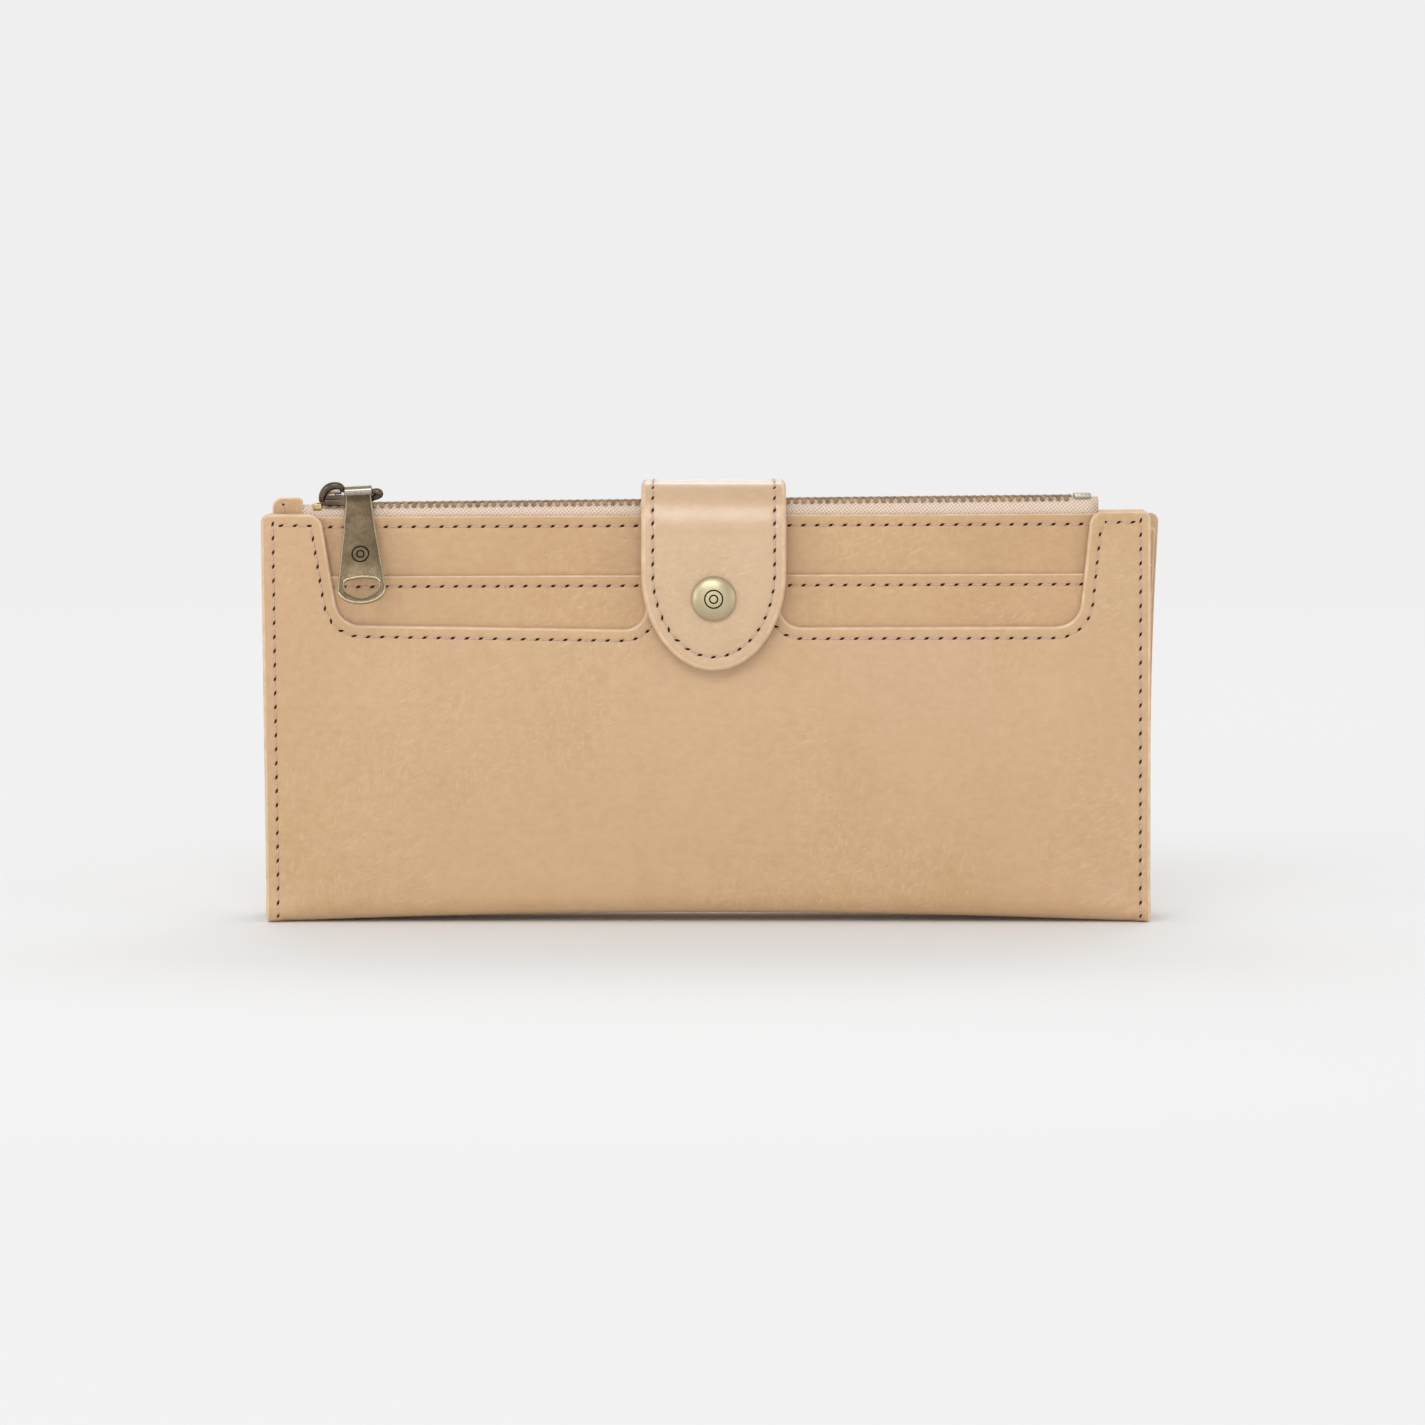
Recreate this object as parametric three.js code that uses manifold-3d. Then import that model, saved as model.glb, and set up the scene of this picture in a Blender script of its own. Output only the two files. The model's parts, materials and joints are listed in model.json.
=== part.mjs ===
/*
 * A long wallet that folds at its bottom edge.
 *
 * The front leaf has two open card pockets and a zip pocket, the rear leaf has four stepped card
 * panels and a note pocket, and a snap strap is sewn to the back and comes over the top.
 *
 * Millimetres. +X is to the right seen from the front, +Y to the back and +Z up. The origin is on
 * the surface that the wallet stands on, under the middle of the fold.
 */
import * as THREE from 'three';
import { mergeVertices } from 'three/addons/utils/BufferGeometryUtils.js';
import Module from 'manifold-3d';

const wasm = await Module();
wasm.setup();

// ---------------------------------------------------------------- driving dimensions

const WIDTH = 190; // both leaves, along X
const DEPTH = 21; // closed, over both covers, without the strap
const COVER_TOP = 87.8;
const COVER_THICKNESS = 1.1;
const PANEL_THICKNESS = 0.7; // skived leather of the pockets
const CLOTH_THICKNESS = 0.5; // linings and zip tape
const GAP = 0.3; // between layers
const CORNER_RADIUS = 2.5;

const LOWER_CARD_TOP = 74.5;
const UPPER_CARD_TOP = 87.2;
const RECESS_BOTTOM = 63.2;
const EAR_WIDTH = 9.7; // at the top, up to its round corner
const EAR_FOOT_WIDTH = 15.2; // at the recess bottom
const EAR_RADIUS = 3.2;
const RECESS_RADIUS = 5.4;
const POST_TOP = 76.5; // the tongue of the front cover that carries the snap stud
const POST_RADIUS = 4;

const STRAP_X = 1.2; // the strap sits a little right of the middle
const STRAP_WIDTH = 30.9;
const STRAP_TIP = 54.1;
const STRAP_ROOT = 52;
const STRAP_TOP = 94.2;
const STRAP_BEND_RADIUS = 7.7; // outer face
const STRAP_STANDOFF = 1.8; // the snap holds the tip this far off the front cover
const STRAP_SEW_GAP = GAP;

const SNAP_Z = 69.1;
const CAP_RADIUS = 4.8;

const CHAIN_Z = 88.7; // underside of the zip teeth
const CHAIN_HEIGHT = 1;
const CHAIN_TILT = THREE.MathUtils.degToRad(0.6); // the zip rises towards its right end
const CHAIN_START = -83;
const CHAIN_END = 78.4;
const TOOTH_PITCH = 1.7;
const TOOTH_WIDTH = 0.6;
const TAPE_DROP = 12.6; // how far the tape hangs below the teeth
const TAPE_LEFT_END = 1.4; // the tape past the first tooth
const TAPE_RIGHT_END = 4; // the tape past the last tooth
const TAB_DROP = 12;
const TAB_LEFT_GAP = 2.7;
const TAB_RIGHT_GAP = 4.3;
const SLIP_TOP = 72;
const BEAD_OUTER = 2.2; // distances from the middle of the chain
const BEAD_INNER = 1.4;
const TOOTH_REACH = 0.6;

const SLIDER_X = -76.4;
const SLIDER_LENGTH = 12;
const PULL_X = -75.2;
const PULL_LENGTH = 26.1; // from the bail bar to the round end
const PULL_TOP_WIDTH = 5.4;
const PULL_TILT = THREE.MathUtils.degToRad(25); // it leans out over the pocket edge

const ARC_STEPS = 3;
const ROUND_STEPS = 20;

// ---------------------------------------------------------------- layers, from front to back

const FRONT = -DEPTH / 2;
const BACK = DEPTH / 2;
const COVER_PITCH = COVER_THICKNESS + GAP;
const PANEL_PITCH = PANEL_THICKNESS + GAP;
const LOWER_CARD_Y = FRONT + COVER_PITCH;
const UPPER_CARD_Y = LOWER_CARD_Y + PANEL_PITCH;
const FRONT_TAPE_Y = UPPER_CARD_Y + PANEL_PITCH;
const CHAIN_Y = FRONT_TAPE_Y + BEAD_OUTER;
const REAR_TAPE_Y = CHAIN_Y + BEAD_OUTER - CLOTH_THICKNESS;
const SLIP_POCKET_Y = -GAP - PANEL_THICKNESS;
const ZIP_WALL_Y = SLIP_POCKET_Y - PANEL_PITCH;
const FIRST_TIER_Y = GAP;
const BACK_COVER_Y = BACK - COVER_THICKNESS;
const NOTE_LINING_Y = BACK_COVER_Y - GAP - CLOTH_THICKNESS;

const FLOOR_LAYER = COVER_THICKNESS; // the cover where it passes under the wallet
const LEAF_BOTTOM = FLOOR_LAYER + GAP;
const INNER_BOTTOM = LEAF_BOTTOM + CLOTH_THICKNESS + GAP;
const HALF = WIDTH / 2;

// ---------------------------------------------------------------- materials

function material(color, roughness, metalness = 0) {
  return new THREE.MeshStandardMaterial({ color, roughness, metalness });
}

const leather = () => material('#d0ad84', 0.42);
const strapLeather = () => material('#d9b98f', 0.38);
const cloth = () => material('#c7a67f', 0.9);
const zipTape = () => material('#dec9b3', 0.85);
const brass = () => material('#8d7d5e', 0.35, 0.95);
const brightBrass = () => material('#c9b074', 0.3, 0.95);

// ---------------------------------------------------------------- shapes and solids

/** A closed outline from corners [x, y, radius], with an arc at each corner that has a radius. */
function outline(corners) {
  const shape = new THREE.Shape();
  corners.forEach(([x, y, radius = 0], index) => {
    const corner = new THREE.Vector2(x, y);
    const [beforeX, beforeY] = corners.at(index - 1);
    const [afterX, afterY] = corners[(index + 1) % corners.length];
    const toBefore = new THREE.Vector2(beforeX, beforeY).sub(corner).normalize();
    const toAfter = new THREE.Vector2(afterX, afterY).sub(corner).normalize();
    const halfAngle = Math.acos(toBefore.dot(toAfter)) / 2;
    const start = corner.clone().addScaledVector(toBefore, radius / Math.tan(halfAngle));
    const end = corner.clone().addScaledVector(toAfter, radius / Math.tan(halfAngle));
    if (index === 0) shape.moveTo(start.x, start.y);
    else shape.lineTo(start.x, start.y);
    if (radius === 0) return;
    const inward = toBefore.clone().add(toAfter).normalize();
    const centre = corner.clone().addScaledVector(inward, radius / Math.sin(halfAngle));
    const startAngle = start.clone().sub(centre).angle();
    const endAngle = end.clone().sub(centre).angle();
    const clockwise = toBefore.cross(toAfter) > 0;
    shape.absarc(centre.x, centre.y, radius, startAngle, endAngle, clockwise);
  });
  return shape;
}

function rectangle(left, right, bottom, top, bottomRadius = 0, topRadius = bottomRadius) {
  return outline([
    [left, bottom, bottomRadius],
    [right, bottom, bottomRadius],
    [right, top, topRadius],
    [left, top, topRadius],
  ]);
}

function extrude(shape, depth) {
  return new THREE.ExtrudeGeometry(shape, { depth, bevelEnabled: false, curveSegments: ARC_STEPS });
}

/** A flat layer: an outline in X and Z, with its front face at y. */
function layer(name, shape, y, thickness, finish) {
  const mesh = new THREE.Mesh(extrude(shape, thickness), finish);
  mesh.name = name;
  mesh.rotation.x = Math.PI / 2;
  mesh.position.y = y + thickness;
  return mesh;
}

/** A bar along X: an outline in Y and Z, from x. */
function bar(name, shape, x, length, finish) {
  const mesh = new THREE.Mesh(extrude(shape, length), finish);
  mesh.name = name;
  mesh.rotation.set(Math.PI / 2, Math.PI / 2, 0);
  mesh.position.x = x;
  return mesh;
}

/** A turned piece about an axis along Y, from points [radius, y]. */
function turned(name, profile, finish) {
  const points = profile.map(([radius, y]) => new THREE.Vector2(radius, y));
  const mesh = new THREE.Mesh(new THREE.LatheGeometry(points, ROUND_STEPS), finish);
  mesh.name = name;
  mesh.position.set(STRAP_X, 0, SNAP_Z);
  return mesh;
}

function solid(geometry) {
  const bare = geometry.clone();
  bare.deleteAttribute('normal');
  bare.deleteAttribute('uv');
  const merged = mergeVertices(bare, 1e-4);
  return new wasm.Manifold(new wasm.Mesh({
    numProp: 3,
    vertProperties: new Float32Array(merged.attributes.position.array),
    triVerts: new Uint32Array(merged.index.array),
  }));
}

function geometryOf(manifold) {
  const { vertProperties, triVerts } = manifold.getMesh();
  const geometry = new THREE.BufferGeometry();
  geometry.setAttribute('position', new THREE.BufferAttribute(new Float32Array(vertProperties), 3));
  geometry.setIndex(new THREE.BufferAttribute(new Uint32Array(triVerts), 1));
  geometry.computeVertexNormals();
  return geometry;
}

function roundHole(x, y, radius) {
  const hole = new THREE.Path();
  hole.absarc(x, y, radius, 0, 2 * Math.PI);
  return hole;
}

// ---------------------------------------------------------------- fold

function foldGroup() {
  const group = new THREE.Group();
  const coverSection = rectangle(FRONT + GAP, BACK - GAP, 0, FLOOR_LAYER);
  const liningSection = rectangle(
    LOWER_CARD_Y, NOTE_LINING_Y, LEAF_BOTTOM, LEAF_BOTTOM + CLOTH_THICKNESS,
  );
  group.add(bar('spine_cover', coverSection, -HALF, WIDTH, leather()));
  group.add(bar('spine_lining', liningSection, 3 - HALF, WIDTH - 6, cloth()));
  return group;
}

// ---------------------------------------------------------------- front leaf

/** The front cover: an ear at each end, a tongue under the strap, and a recess on each side of it. */
function frontCover() {
  const postLeft = STRAP_X - STRAP_WIDTH / 2 + 0.7;
  const postRight = STRAP_X + STRAP_WIDTH / 2 - 0.7;
  const shape = outline([
    [-HALF, LEAF_BOTTOM, CORNER_RADIUS],
    [HALF, LEAF_BOTTOM, CORNER_RADIUS],
    [HALF, COVER_TOP, CORNER_RADIUS],
    [HALF - EAR_WIDTH - EAR_RADIUS, COVER_TOP, EAR_RADIUS],
    [HALF - EAR_FOOT_WIDTH, RECESS_BOTTOM, RECESS_RADIUS],
    [postRight, RECESS_BOTTOM, RECESS_RADIUS],
    [postRight, POST_TOP, POST_RADIUS],
    [postLeft, POST_TOP, POST_RADIUS],
    [postLeft, RECESS_BOTTOM, RECESS_RADIUS],
    [EAR_FOOT_WIDTH - HALF, RECESS_BOTTOM, RECESS_RADIUS],
    [EAR_WIDTH + EAR_RADIUS - HALF, COVER_TOP, EAR_RADIUS],
    [-HALF, COVER_TOP, CORNER_RADIUS],
  ]);
  const shankRadius = 1.3;
  const platePocketRadius = 4;
  const platePocketDepth = 0.6;
  shape.holes.push(roundHole(STRAP_X, SNAP_Z, shankRadius));
  // the stud's back plate lies in a shallow pocket cut into the inner face
  const pocket = new THREE.CylinderGeometry(platePocketRadius, platePocketRadius, 2 * platePocketDepth, 20);
  pocket.rotateX(Math.PI / 2);
  pocket.translate(STRAP_X, SNAP_Z, 0);
  const cut = solid(extrude(shape, COVER_THICKNESS)).subtract(solid(pocket));
  const mesh = new THREE.Mesh(geometryOf(cut), leather());
  mesh.name = 'front_cover';
  mesh.rotation.x = Math.PI / 2;
  mesh.position.y = LOWER_CARD_Y - GAP;
  return mesh;
}

function cardPockets() {
  const group = new THREE.Group();
  const inset = 0.4;
  const left = inset - HALF;
  const right = HALF - inset;
  const lower = rectangle(left, right, INNER_BOTTOM, LOWER_CARD_TOP, 1);
  const upper = rectangle(left, right, INNER_BOTTOM, UPPER_CARD_TOP, 1);
  const liningTop = CHAIN_Z - 13;
  const lining = rectangle(left + 2, right - 2, INNER_BOTTOM, liningTop, 1);
  group.add(layer('lower_card_panel', lower, LOWER_CARD_Y, PANEL_THICKNESS, leather()));
  group.add(layer('upper_card_panel', upper, UPPER_CARD_Y, PANEL_THICKNESS, leather()));
  group.add(layer('card_pocket_lining', lining, FRONT_TAPE_Y, CLOTH_THICKNESS, cloth()));
  return group;
}

/** One row of zip teeth on its bead. side is -1 for the front row and 1 for the rear row. */
function toothRow(name, side) {
  const outerY = side * BEAD_OUTER;
  const innerY = side * BEAD_INNER;
  const tipY = -side * TOOTH_REACH;
  const firstTooth = CHAIN_START + (side < 0 ? 0.5 : 1.5) * TOOTH_PITCH / 2;
  const shape = new THREE.Shape();
  shape.moveTo(CHAIN_END, outerY);
  shape.lineTo(CHAIN_START, outerY);
  shape.lineTo(CHAIN_START, innerY);
  for (let x = firstTooth; x + TOOTH_WIDTH < CHAIN_END; x += TOOTH_PITCH) {
    shape.lineTo(x, innerY);
    shape.lineTo(x, tipY);
    shape.lineTo(x + TOOTH_WIDTH, tipY);
    shape.lineTo(x + TOOTH_WIDTH, innerY);
  }
  shape.lineTo(CHAIN_END, innerY);
  const mesh = new THREE.Mesh(extrude(shape, CHAIN_HEIGHT), brass());
  mesh.name = name;
  mesh.position.set(0, CHAIN_Y, CHAIN_Z);
  return mesh;
}

function block(name, left, right, front, back, bottom, top, finish) {
  const mesh = new THREE.Mesh(new THREE.BoxGeometry(right - left, back - front, top - bottom), finish);
  mesh.name = name;
  mesh.position.set((left + right) / 2, (front + back) / 2, (bottom + top) / 2);
  return mesh;
}

function zipChain() {
  const group = new THREE.Group();
  const tapeLeft = CHAIN_START - TAPE_LEFT_END;
  const tapeRight = CHAIN_END + TAPE_RIGHT_END;
  const tapeBottom = CHAIN_Z - TAPE_DROP;
  const tapeTop = CHAIN_Z - GAP;
  const tape = rectangle(tapeLeft, tapeRight, tapeBottom, tapeTop);
  const stopTop = CHAIN_Z + CHAIN_HEIGHT + 0.3;
  const stopInner = 0.4;
  const topStopLeft = CHAIN_START - 2.4;
  const bottomStopRight = CHAIN_END + TAPE_RIGHT_END;
  group.add(layer('zip_tape_front', tape, FRONT_TAPE_Y, CLOTH_THICKNESS, zipTape()));
  group.add(layer('zip_tape_rear', tape, REAR_TAPE_Y, CLOTH_THICKNESS, zipTape()));
  group.add(toothRow('zip_teeth_front', -1));
  group.add(toothRow('zip_teeth_rear', 1));
  for (const [name, side] of [['zip_top_stop_front', -1], ['zip_top_stop_rear', 1]]) {
    const near = CHAIN_Y + side * stopInner;
    const far = CHAIN_Y + side * BEAD_OUTER;
    group.add(block(
      name, topStopLeft, CHAIN_START - GAP, Math.min(near, far), Math.max(near, far),
      CHAIN_Z, stopTop, brightBrass(),
    ));
  }
  group.add(block(
    'zip_bottom_stop', CHAIN_END + GAP, bottomStopRight, CHAIN_Y - BEAD_OUTER, CHAIN_Y + BEAD_OUTER,
    CHAIN_Z, stopTop, brightBrass(),
  ));
  tiltAboutLeftEnd(group);
  return group;
}

/** Tilts the zip about the left end of its teeth, so that its right end stands higher. */
function tiltAboutLeftEnd(group) {
  const cosine = Math.cos(CHAIN_TILT);
  const sine = Math.sin(CHAIN_TILT);
  group.rotation.y = -CHAIN_TILT;
  group.position.x = CHAIN_START - (CHAIN_START * cosine - CHAIN_Z * sine);
  group.position.z = CHAIN_Z - (CHAIN_START * sine + CHAIN_Z * cosine);
}

function zipPocket() {
  const group = new THREE.Group();
  const inset = 0.8;
  const tabBottom = CHAIN_Z - TAB_DROP;
  const leftTabTop = CHAIN_Z + 1.5;
  const rightTabTop = CHAIN_Z + 0.1;
  const leftTab = rectangle(inset + 1 - HALF, CHAIN_START - TAB_LEFT_GAP, tabBottom, leftTabTop, 0, 1.5);
  const rightTab = rectangle(CHAIN_END + TAB_RIGHT_GAP, HALF - inset, tabBottom, rightTabTop, 0, 1);
  const wall = rectangle(inset - HALF, HALF - inset, INNER_BOTTOM, CHAIN_Z - 0.5, 1);
  const slip = rectangle(inset - HALF, HALF - inset, INNER_BOTTOM, SLIP_TOP, 1);
  group.add(layer('zip_end_tab_left', leftTab, FRONT_TAPE_Y, PANEL_THICKNESS, leather()));
  group.add(layer('zip_end_tab_right', rightTab, FRONT_TAPE_Y, PANEL_THICKNESS, leather()));
  group.add(layer('zip_pocket_rear_wall', wall, ZIP_WALL_Y, PANEL_THICKNESS, leather()));
  group.add(layer('inner_slip_pocket', slip, SLIP_POCKET_Y, PANEL_THICKNESS, leather()));
  return group;
}

/** The snap stud on the front cover: a flange, a neck and a head outside, and a shank through the leather. */
function snapStud() {
  const group = new THREE.Group();
  const flangeBack = FRONT - GAP;
  const flangeFront = flangeBack - 0.3;
  const neckFront = flangeFront - 1.1;
  const headFront = neckFront - 0.7;
  const shankBack = FRONT + 0.5;
  const plateFront = FRONT + 0.8;
  const plateBack = LOWER_CARD_Y - GAP;
  group.add(turned('snap_stud', [
    [0, headFront],
    [1.2, headFront],
    [1.5, headFront + 0.3],
    [1.5, neckFront],
    [1.2, neckFront],
    [1.2, flangeFront],
    [3.2, flangeFront],
    [3.2, flangeBack],
    [1, flangeBack],
    [1, shankBack],
    [0, shankBack],
  ], brass()));
  group.add(turned('snap_stud_back_plate', [
    [0, plateFront],
    [3.5, plateFront],
    [3.5, plateBack],
    [0, plateBack],
  ], brass()));
  return group;
}

// ---------------------------------------------------------------- slider and pull

const SLIDER_PLATE_Z = CHAIN_Z + CHAIN_HEIGHT + 0.4;
const SLIDER_PLATE_THICKNESS = 0.7;
const BAIL_LEAN = THREE.MathUtils.degToRad(35);
const BAIL_FOOT_Y = CHAIN_Y - 1.5; // its feet stand in front of the middle of the slider
const BAIL_FOOT_Z = SLIDER_PLATE_Z + SLIDER_PLATE_THICKNESS + GAP;
const BAIL_HEIGHT = 1.75; // from its feet to the middle of its bar
const BAIL_BAR = 0.9;
const BAIL_BAR_Y = BAIL_FOOT_Y - BAIL_HEIGHT * Math.sin(BAIL_LEAN);
const BAIL_BAR_Z = BAIL_FOOT_Z + BAIL_HEIGHT * Math.cos(BAIL_LEAN);

/** The upper plate of the slider, with a flange down each side of the teeth. */
function sliderBody() {
  const outer = BEAD_OUTER + 0.8;
  const inner = BEAD_OUTER + 0.3;
  const flangeBottom = CHAIN_Z + 0.1;
  const plateTop = SLIDER_PLATE_Z + SLIDER_PLATE_THICKNESS;
  const section = outline([
    [CHAIN_Y - outer, flangeBottom],
    [CHAIN_Y - inner, flangeBottom],
    [CHAIN_Y - inner, SLIDER_PLATE_Z],
    [CHAIN_Y + inner, SLIDER_PLATE_Z],
    [CHAIN_Y + inner, flangeBottom],
    [CHAIN_Y + outer, flangeBottom],
    [CHAIN_Y + outer, plateTop, 0.4],
    [CHAIN_Y - outer, plateTop, 0.4],
  ]);
  return bar('slider_body', section, SLIDER_X - SLIDER_LENGTH / 2, SLIDER_LENGTH, brass());
}

function sliderLowerPlate() {
  const halfWidth = BEAD_OUTER - CLOTH_THICKNESS - 0.4;
  const top = CHAIN_Z - 0.3;
  return block(
    'slider_lower_plate', SLIDER_X - SLIDER_LENGTH / 2, SLIDER_X + SLIDER_LENGTH / 2,
    CHAIN_Y - halfWidth, CHAIN_Y + halfWidth, top - 0.7, top, brass(),
  );
}

/** The bail: an arch along the slider that leans forward and carries the pull on its bar. */
function sliderBail() {
  const halfSpan = SLIDER_LENGTH / 2 - 0.3;
  const leg = 1;
  const barTop = BAIL_HEIGHT + BAIL_BAR / 2;
  const barBottom = BAIL_HEIGHT - BAIL_BAR / 2;
  const shape = outline([
    [-halfSpan, 0],
    [leg - halfSpan, 0],
    [leg - halfSpan, barBottom, 0.3],
    [halfSpan - leg, barBottom, 0.3],
    [halfSpan - leg, 0],
    [halfSpan, 0],
    [halfSpan, barTop, 0.8],
    [-halfSpan, barTop, 0.8],
  ]);
  const mesh = new THREE.Mesh(extrude(shape, BAIL_BAR), brass());
  mesh.name = 'slider_bail';
  mesh.rotation.x = Math.PI / 2;
  mesh.position.y = BAIL_BAR / 2;
  const leaning = new THREE.Group();
  leaning.add(mesh);
  leaning.rotation.x = BAIL_LEAN;
  leaning.position.set(SLIDER_X, BAIL_FOOT_Y, BAIL_FOOT_Z);
  return leaning;
}

/** The pull: a plate that widens to a round end with a D-shaped hole, hung from a rolled barrel. */
function zipPull() {
  const thickness = 1.2;
  const barrelRadius = 1.2;
  const boreRadius = 0.8;
  const barrelLength = 5.8;
  const topHalfWidth = PULL_TOP_WIDTH / 2;
  const footHalfWidth = 5;
  const footZ = -(PULL_LENGTH - 4.1);
  const holeTop = -20;
  const holeBottom = -24.7;
  const holeHalfWidth = 3.75;
  const shape = new THREE.Shape();
  shape.moveTo(-topHalfWidth, 0);
  shape.lineTo(-footHalfWidth, footZ);
  shape.bezierCurveTo(-4.4, -PULL_LENGTH, 4.4, -PULL_LENGTH, footHalfWidth, footZ);
  shape.lineTo(topHalfWidth, 0);
  const hole = new THREE.Path();
  hole.moveTo(-holeHalfWidth, holeTop - 1);
  hole.quadraticCurveTo(-holeHalfWidth, holeTop, 1 - holeHalfWidth, holeTop);
  hole.lineTo(holeHalfWidth - 1, holeTop);
  hole.quadraticCurveTo(holeHalfWidth, holeTop, holeHalfWidth, holeTop - 1);
  hole.bezierCurveTo(holeHalfWidth, holeBottom - 0.4, -holeHalfWidth, holeBottom - 0.4, -holeHalfWidth, holeTop - 1);
  shape.holes.push(hole);
  const plate = extrude(shape, thickness);
  const barrel = new THREE.CylinderGeometry(barrelRadius, barrelRadius, barrelLength, 16);
  const bore = new THREE.CylinderGeometry(boreRadius, boreRadius, barrelLength + 2, 16);
  barrel.rotateZ(Math.PI / 2);
  bore.rotateZ(Math.PI / 2);
  const whole = solid(plate).add(solid(barrel)).subtract(solid(bore));
  const mesh = new THREE.Mesh(geometryOf(whole), brass());
  mesh.name = 'zip_pull';
  mesh.rotation.x = Math.PI / 2;
  const hanging = new THREE.Group();
  hanging.add(mesh);
  hanging.rotation.x = -PULL_TILT;
  hanging.position.set(PULL_X, BAIL_BAR_Y, BAIL_BAR_Z);
  return hanging;
}

// ---------------------------------------------------------------- rear leaf

function rearLeaf() {
  const group = new THREE.Group();
  const inset = 0.8;
  const left = inset - HALF;
  const right = HALF - inset;
  const cover = rectangle(-HALF, HALF, LEAF_BOTTOM, COVER_TOP, CORNER_RADIUS);
  const lining = rectangle(left + 1, right - 1, INNER_BOTTOM, COVER_TOP - 2, 1);
  const noteFront = rectangle(left, right, INNER_BOTTOM, COVER_TOP - 3, 1);
  group.add(layer('back_cover', cover, BACK_COVER_Y, COVER_THICKNESS, leather()));
  group.add(layer('note_pocket_lining', lining, NOTE_LINING_Y, CLOTH_THICKNESS, cloth()));
  const tierCount = 4;
  const lowestTierTop = 44;
  const tierStep = 11;
  for (let tier = 0; tier < tierCount; tier += 1) {
    const panel = rectangle(left, right, INNER_BOTTOM, lowestTierTop + tier * tierStep, 1);
    const y = FIRST_TIER_Y + tier * PANEL_PITCH;
    group.add(layer(`inner_card_panel_${tier + 1}`, panel, y, PANEL_THICKNESS, leather()));
  }
  const noteFrontY = FIRST_TIER_Y + tierCount * PANEL_PITCH;
  group.add(layer('note_pocket_front', noteFront, noteFrontY, PANEL_THICKNESS, leather()));
  return group;
}

// ---------------------------------------------------------------- strap

const STRAP_LEFT = STRAP_X - STRAP_WIDTH / 2;
const STRAP_RIGHT = STRAP_X + STRAP_WIDTH / 2;
const BEND_Z = STRAP_TOP - STRAP_BEND_RADIUS;
const LINING_INSET = COVER_THICKNESS + GAP; // from the strap's outer face to its lining
const STRAP_THICKNESS = LINING_INSET + PANEL_THICKNESS;
const STRAP_FRONT = FRONT - STRAP_STANDOFF - STRAP_THICKNESS;
const STRAP_BACK = BACK + STRAP_SEW_GAP + STRAP_THICKNESS;

/** The arch over the top, inset from the strap's outer face, as a section in Y and Z. */
function archSection(inset, thickness) {
  const frontCentre = STRAP_FRONT + STRAP_BEND_RADIUS;
  const backCentre = STRAP_BACK - STRAP_BEND_RADIUS;
  const outer = STRAP_BEND_RADIUS - inset;
  const inner = outer - thickness;
  const shape = new THREE.Shape();
  shape.moveTo(backCentre + outer, BEND_Z);
  shape.absarc(backCentre, BEND_Z, outer, 0, Math.PI / 2, false);
  shape.absarc(frontCentre, BEND_Z, outer, Math.PI / 2, Math.PI, false);
  shape.lineTo(frontCentre - inner, BEND_Z);
  shape.absarc(frontCentre, BEND_Z, inner, Math.PI, Math.PI / 2, true);
  shape.absarc(backCentre, BEND_Z, inner, Math.PI / 2, 0, true);
  return shape;
}

/** The strap's tip: straight sides and a half-round end, with a hole for the snap. */
function tipOutline(inset, holeRadius) {
  const radius = STRAP_WIDTH / 2 - inset;
  const centreZ = STRAP_TIP + STRAP_WIDTH / 2;
  const shape = new THREE.Shape();
  shape.moveTo(STRAP_X - radius, BEND_Z - GAP);
  shape.lineTo(STRAP_X - radius, centreZ);
  for (const quarter of [0, 1]) {
    const start = Math.PI * (1 + quarter / 2);
    shape.absarc(STRAP_X, centreZ, radius, start, start + Math.PI / 2, false);
  }
  shape.lineTo(STRAP_X + radius, BEND_Z - GAP);
  shape.holes.push(roundHole(STRAP_X, SNAP_Z, holeRadius));
  return shape;
}

function strap() {
  const group = new THREE.Group();
  const liningInset = 0.3;
  const liningWidth = STRAP_WIDTH - 2 * liningInset;
  const root = rectangle(STRAP_LEFT, STRAP_RIGHT, STRAP_ROOT, BEND_Z - GAP, 3, 0);
  const rootLining = rectangle(
    STRAP_LEFT + liningInset, STRAP_RIGHT - liningInset, STRAP_ROOT + liningInset, BEND_Z - GAP, 3, 0,
  );
  const rootLiningY = BACK + STRAP_SEW_GAP;
  const tipLiningY = FRONT - STRAP_STANDOFF - PANEL_THICKNESS;
  const shankHole = 1.3;
  const headHole = 2.1;
  group.add(
    layer('strap_root_leather', root, STRAP_BACK - COVER_THICKNESS, COVER_THICKNESS, strapLeather()),
    layer('strap_root_lining', rootLining, rootLiningY, PANEL_THICKNESS, strapLeather()),
    bar('strap_bridge_leather', archSection(0, COVER_THICKNESS), STRAP_LEFT, STRAP_WIDTH, strapLeather()),
    bar(
      'strap_bridge_lining', archSection(LINING_INSET, PANEL_THICKNESS),
      STRAP_LEFT + liningInset, liningWidth, strapLeather(),
    ),
    layer('strap_tip_leather', tipOutline(0, shankHole), STRAP_FRONT, COVER_THICKNESS, strapLeather()),
    layer('strap_tip_lining', tipOutline(liningInset, headHole), tipLiningY, PANEL_THICKNESS, strapLeather()),
  );
  return group;
}

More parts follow.
